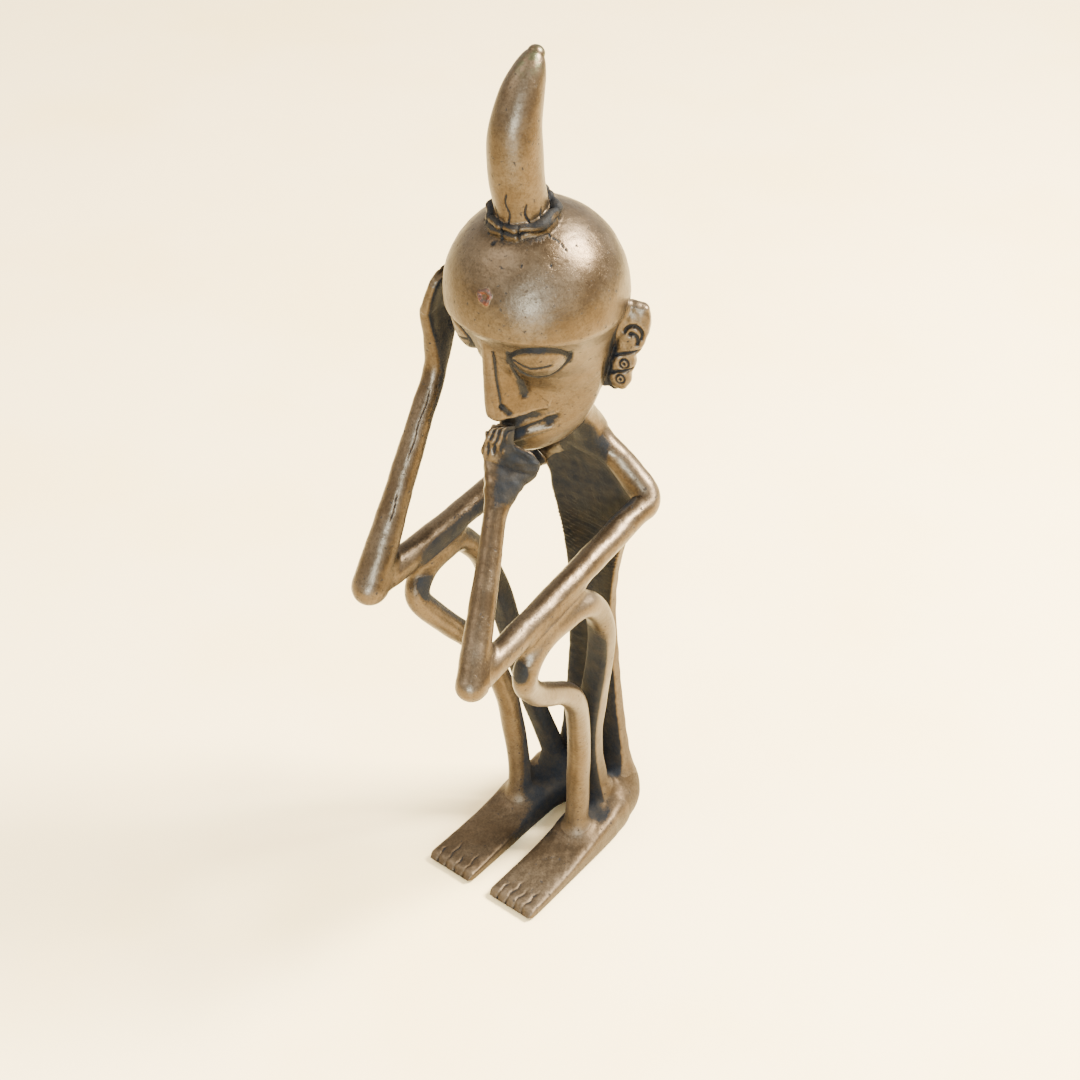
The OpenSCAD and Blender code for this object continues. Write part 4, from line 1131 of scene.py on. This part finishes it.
join(cloud(mm, 0.07, 5.0, 0.6), given, "Tone")


def blank(name):
    """A new material, its node tree and the Principled shader in it."""
    material = bpy.data.materials.new(name)
    material.use_nodes = True
    return material, material.node_tree, material.node_tree.nodes["Principled BSDF"]


def bronze_finish(name, warm, pale, dirt_and_shade_colour, reach, pitting, rough):
    """Rubbed bronze: warm and paler metal in clouds, near-black dirt and painted shade
    where the piece is dirty and where other parts hide it, pits and scratches, brighter edges."""
    material, tree, shader = blank(name)
    add, maths, blend_colour, s_curve, millimetres, cloud = nodes_in(tree)
    dirt_and_shade_at = add("ShaderNodeAttribute", attribute_name="dirt_and_shade").outputs["Fac"]
    wear_at = add("ShaderNodeAttribute", attribute_name="wear").outputs["Fac"]
    dirt_and_shade = add("ShaderNodeGroup", node_tree=dirt_and_shade_tree)
    dirt_and_shade.inputs["Reach"].default_value = reach
    join(dirt_and_shade_at, dirt_and_shade, "Dirt and shade")
    skin = add("ShaderNodeGroup", node_tree=skin_tree)
    skin.inputs["Pitting"].default_value = pitting
    mask = maths("MAXIMUM", dirt_and_shade.outputs["Mask"], maths("MULTIPLY", skin.outputs["Pits"], 0.85))
    mask = maths("MAXIMUM", mask, maths("MULTIPLY", dirt_and_shade.outputs["Speckle"], 0.7), clamp=True)
    tone = s_curve(skin.outputs["Tone"], 0.35, 0.65)
    colour = blend_colour(tone, warm, pale)
    mottle = s_curve(cloud(millimetres(), 0.75, 7.0, 0.72), 0.42, 0.72)
    stain_and_shade_colour = tuple(c * 0.5 for c in warm)
    rubbed = tuple(c * 1.5 for c in pale)
    colour = blend_colour(maths("MULTIPLY", mottle, 0.42), colour, stain_and_shade_colour)
    colour = blend_colour(maths("MULTIPLY", s_curve(wear_at, 0.05, 0.30), 0.35), colour, rubbed)
    mm = millimetres()
    up = add("ShaderNodeSeparateXYZ")
    join(mm, up, 0)
    # the horn's tip has turned a little green
    tip = maths("MULTIPLY", s_curve(up.outputs["Z"], 280.5, 286.0),
                s_curve(cloud(mm, 0.6, 3.0), 0.42, 0.62))
    colour = blend_colour(maths("MULTIPLY", tip, 0.75), colour, (0.055, 0.064, 0.036))
    # the stain colour and the near-black colour also paint shade where other parts hide the surface
    colour = blend_colour(maths("MULTIPLY", dirt_and_shade.outputs["Stain and shade"], 0.8), colour, stain_and_shade_colour)
    brown_in_dark = s_curve(cloud(mm, 0.22, 7.0, 0.68), 0.38, 0.66)
    soot_and_shade = blend_colour(brown_in_dark, dirt_and_shade_colour, (0.013, 0.011, 0.009))
    colour = blend_colour(mask, colour, soot_and_shade)
    join(colour, shader, "Base Color")
    clean = maths("SUBTRACT", 1.0, mask)
    join(maths("MULTIPLY_ADD", clean, 0.95, 0.0), shader, "Metallic")
    shader.inputs["Specular IOR Level"].default_value = 0.12
    uneven = maths("MULTIPLY_ADD", maths("SUBTRACT", skin.outputs["Tone"], 0.5), 0.35, rough)
    # the feet and shins were never handled and stay dull
    dull = maths("SUBTRACT", 1.0, s_curve(up.outputs["Z"], 10.0, 70.0))
    uneven = maths("MULTIPLY_ADD", dull, 0.16, uneven)
    join(maths("MULTIPLY_ADD", mask, 0.22, uneven), shader, "Roughness")
    bump = add("ShaderNodeBump", Strength=0.55, Distance=0.00022)
    rougher = maths("MULTIPLY", mask, cloud(mm, 1.3, 4.0, 0.65))
    join(maths("MULTIPLY_ADD", rougher, 1.6, skin.outputs["Height"]), bump, "Height")
    join(bump.outputs[0], shader, "Normal")
    return material


metals = {
    "bronze": bronze_finish("rubbed bronze", (0.066, 0.046, 0.028), (0.097, 0.073, 0.049),
                            (0.005, 0.006, 0.008), 0.0, 1.0, 0.37),
    "dark_bronze": bronze_finish("dark bronze", (0.061, 0.042, 0.025), (0.089, 0.067, 0.044),
                                 (0.005, 0.006, 0.008), 0.03, 1.2, 0.42),
}

# blistered copper: red metal and brown scale
material, tree, shader = blank("blistered copper")
add, maths, blend_colour, s_curve, millimetres, cloud = nodes_in(tree)
mm = millimetres()
dirt_and_shade_at = add("ShaderNodeAttribute", attribute_name="dirt_and_shade").outputs["Fac"]
scale = s_curve(cloud(mm, 0.9, 4.0), 0.42, 0.6)
colour = blend_colour(scale, (0.085, 0.029, 0.017), (0.036, 0.018, 0.013))
# darker where the dirt value is high, which also holds painted shade
copper_soot_and_shade = s_curve(maths("ADD", dirt_and_shade_at, cloud(mm, 1.8, 3.0)), 0.75, 0.95)
colour = blend_colour(copper_soot_and_shade, colour, (0.05, 0.035, 0.03))
join(colour, shader, "Base Color")
join(maths("MULTIPLY_ADD", scale, -0.4, 0.85), shader, "Metallic")
join(maths("MULTIPLY_ADD", scale, 0.2, 0.38), shader, "Roughness")
bump = add("ShaderNodeBump", Strength=0.6, Distance=0.0003)
join(cloud(mm, 1.6, 4.0), bump, "Height")
join(bump.outputs[0], shader, "Normal")
metals["copper"] = material

# the clay core inside the head, fired hard and sooty
material, tree, shader = blank("fired clay")
add, maths, blend_colour, s_curve, millimetres, cloud = nodes_in(tree)
mm = millimetres()
burnt = s_curve(cloud(mm, 0.3, 5.0), 0.4, 0.6)
colour = blend_colour(burnt, (0.30, 0.16, 0.10), (0.10, 0.07, 0.06))
join(colour, shader, "Base Color")
join(maths("MULTIPLY_ADD", cloud(mm, 1.0, 3.0), 0.2, 0.75), shader, "Roughness")
bump = add("ShaderNodeBump", Strength=0.7, Distance=0.0005)
join(cloud(mm, 1.2, 5.0), bump, "Height")
join(bump.outputs[0], shader, "Normal")
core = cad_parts["head_core"]
core.data.materials.clear()
core.data.materials.append(material)

# ----------------------------------------
# Pieces: the casting is cut back into its named sub-parts. The eyes, nose and mouth
# are cut out of the head's skin and closed behind, and the head runs on under them.

DARK_NODES = ("seat", "torso_plate", "left_thigh", "right_thigh", "right_hand",
              "lower_collar", "upper_collar")
by_node = {}
for label, w in wax.items():
    # the dark value and the grooves are patina and dirt; the shelter term is painted shade where other
    # skin hides a point
    dirt_and_shade = (w["dark"] + 0.7 * ramp(w["groove"], 0.05, 0.18)
            + 0.85 * ramp(w["shelter"], 0.24, 0.85) - 0.3 * ramp(-w["groove"], 0.05, 0.2))
    dirt_and_shade = np.clip(dirt_and_shade, 0, 1.2)
    values = np.stack([dirt_and_shade, w["worn"]], axis=-1)
    for node, (start, end) in w["nodes"].items():
        cut = slice(start, end + 1)
        by_node.setdefault(node, []).append((w["grid"][cut], w["normal"][cut], values[cut], w["loop"]))

head_surface, head_normal, head_values, _ = by_node["head_shell"][0]
sunk = head_surface.copy()
for name, patch in head_parts.items():
    # the head runs on under the pressed-on piece, which is closed by its own back
    core_patch = patch & np.roll(patch, 1, 1) & np.roll(patch, -1, 1)
    core_patch[1:-1] &= patch[2:] & patch[:-2]
    back = head_base - outward(head_base) * (0.8 if name == "nose" else 1.7)
    beneath = head_base if name == "nose" else head_base - outward(head_base) * 1.3
    sunk[core_patch] = beneath[core_patch]
    rows_n, cols_n = patch.shape
    quads_all = quads_between(rows_n, cols_n)
    kept = quads_all[patch.reshape(-1)[quads_all].all(1)]
    edges = np.concatenate([kept[:, [0, 1]], kept[:, [1, 2]], kept[:, [2, 3]], kept[:, [3, 0]]])
    key = np.sort(edges, axis=1) @ [rows_n * cols_n, 1]
    _, first_at, count = np.unique(key, return_index=True, return_counts=True)
    rim = edges[first_at[count == 1]]
    used, place = np.unique(kept, return_inverse=True)
    place = place.reshape(kept.shape)
    rim = np.searchsorted(used, rim)
    many = len(used)
    walls = np.stack([rim[:, 1], rim[:, 0], rim[:, 0] + many, rim[:, 1] + many], axis=1)
    top, under = head_surface.reshape(-1, 3)[used], back.reshape(-1, 3)[used]
    up = head_normal.reshape(-1, 3)[used]
    cast(name, np.concatenate([top, under]), np.concatenate([up, -up]),
         np.tile(head_values.reshape(-1, 2)[used], (2, 1)),
         np.concatenate([place, place[:, ::-1] + many, walls]), np.zeros((0, 3), int), "bronze")
by_node["head_shell"] = [(sunk, head_normal, head_values, False)]

for node, parts in by_node.items():
    points, normals, values, quads, fans = mesh_of(parts)
    cast(node, points, normals, values, quads, fans,
         "copper" if node == "core_pin" else "dark_bronze" if node in DARK_NODES else "bronze")

# ----------------------------------------
# Stage: a plain pale floor under a bright even sky, a warm lamp high on the right, a
# cool one low in front, two weak ones that fill the shadows, and the camera.

def lamp(name, way, distance, size, watts, colour):
    """A square soft lamp that looks at the figure's chest from a direction."""
    light = bpy.data.lights.new(name, "AREA")
    light.shape, light.size, light.energy, light.color = "SQUARE", size, watts, colour
    thing = stand(name, light)
    thing.location = (target + unit(way) * distance).tolist()
    thing.rotation_euler = Vector(unit(way).tolist()).to_track_quat("Z", "Y").to_euler()


AZIMUTH, ELEVATION, DISTANCE = math.radians(39.8), math.radians(37.5), 0.612
target = (figure_origin + [19.5, -37.0, 150.0]) / 1000.0
right = np.array([math.cos(AZIMUTH), math.sin(AZIMUTH), 0.0])
ahead = np.array([math.sin(AZIMUTH), -math.cos(AZIMUTH), 0.0])
above = np.array([0.0, 0.0, 1.0])
back = ahead * math.cos(ELEVATION) + above * math.sin(ELEVATION)

view = bpy.data.cameras.new("camera")
view.lens, view.sensor_width, view.sensor_fit = 72.0, 36.0, "HORIZONTAL"
view.clip_start, view.clip_end = 0.01, 20.0
eye = stand("camera", view)
eye.location = (target + back * DISTANCE).tolist()
eye.rotation_euler = Vector(back.tolist()).to_track_quat("Z", "Y").to_euler()
bpy.context.scene.camera = eye

lamp("key lamp", 0.67 * right - 0.10 * ahead + 0.73 * above, 1.1, 0.38, 108.0, (1.0, 0.93, 0.79))
lamp("front lamp", -0.10 * right + 0.98 * ahead + 0.20 * above, 1.0, 0.26, 19.0, (0.66, 0.84, 1.0))
lamp("ceiling lamp", -0.62 * right + 0.16 * ahead + 0.77 * above, 1.2, 0.8, 12.0, (1.0, 0.93, 0.83))
lamp("fill lamp", 0.50 * right + 0.80 * ahead + 0.30 * above, 1.1, 0.9, 2.5, (1.0, 0.90, 0.76))

world = bpy.data.worlds.new("studio")
bpy.context.scene.world = world
world.use_nodes = True
sky = world.node_tree.nodes["Background"]
sky.inputs["Color"].default_value = (1.0, 0.90, 0.74, 1.0)
sky.inputs["Strength"].default_value = 2.05

floor_mesh = bpy.data.meshes.new("floor")
floor_mesh.from_pydata([(-4, -4, 0), (4, -4, 0), (4, 4, 0), (-4, 4, 0)], [], [(0, 1, 2, 3)])
floor = stand("floor", floor_mesh)
material, tree, shader = blank("pale floor")
shader.inputs["Roughness"].default_value = 0.55
add, maths, blend_colour, s_curve, millimetres, cloud = nodes_in(tree)
patches = s_curve(cloud(millimetres(), 0.008, 4.0), 0.4, 0.7)
colour = blend_colour(patches, (0.98, 0.80, 0.47), (0.96, 0.76, 0.40))
join(colour, shader, "Base Color")
floor_mesh.materials.append(material)
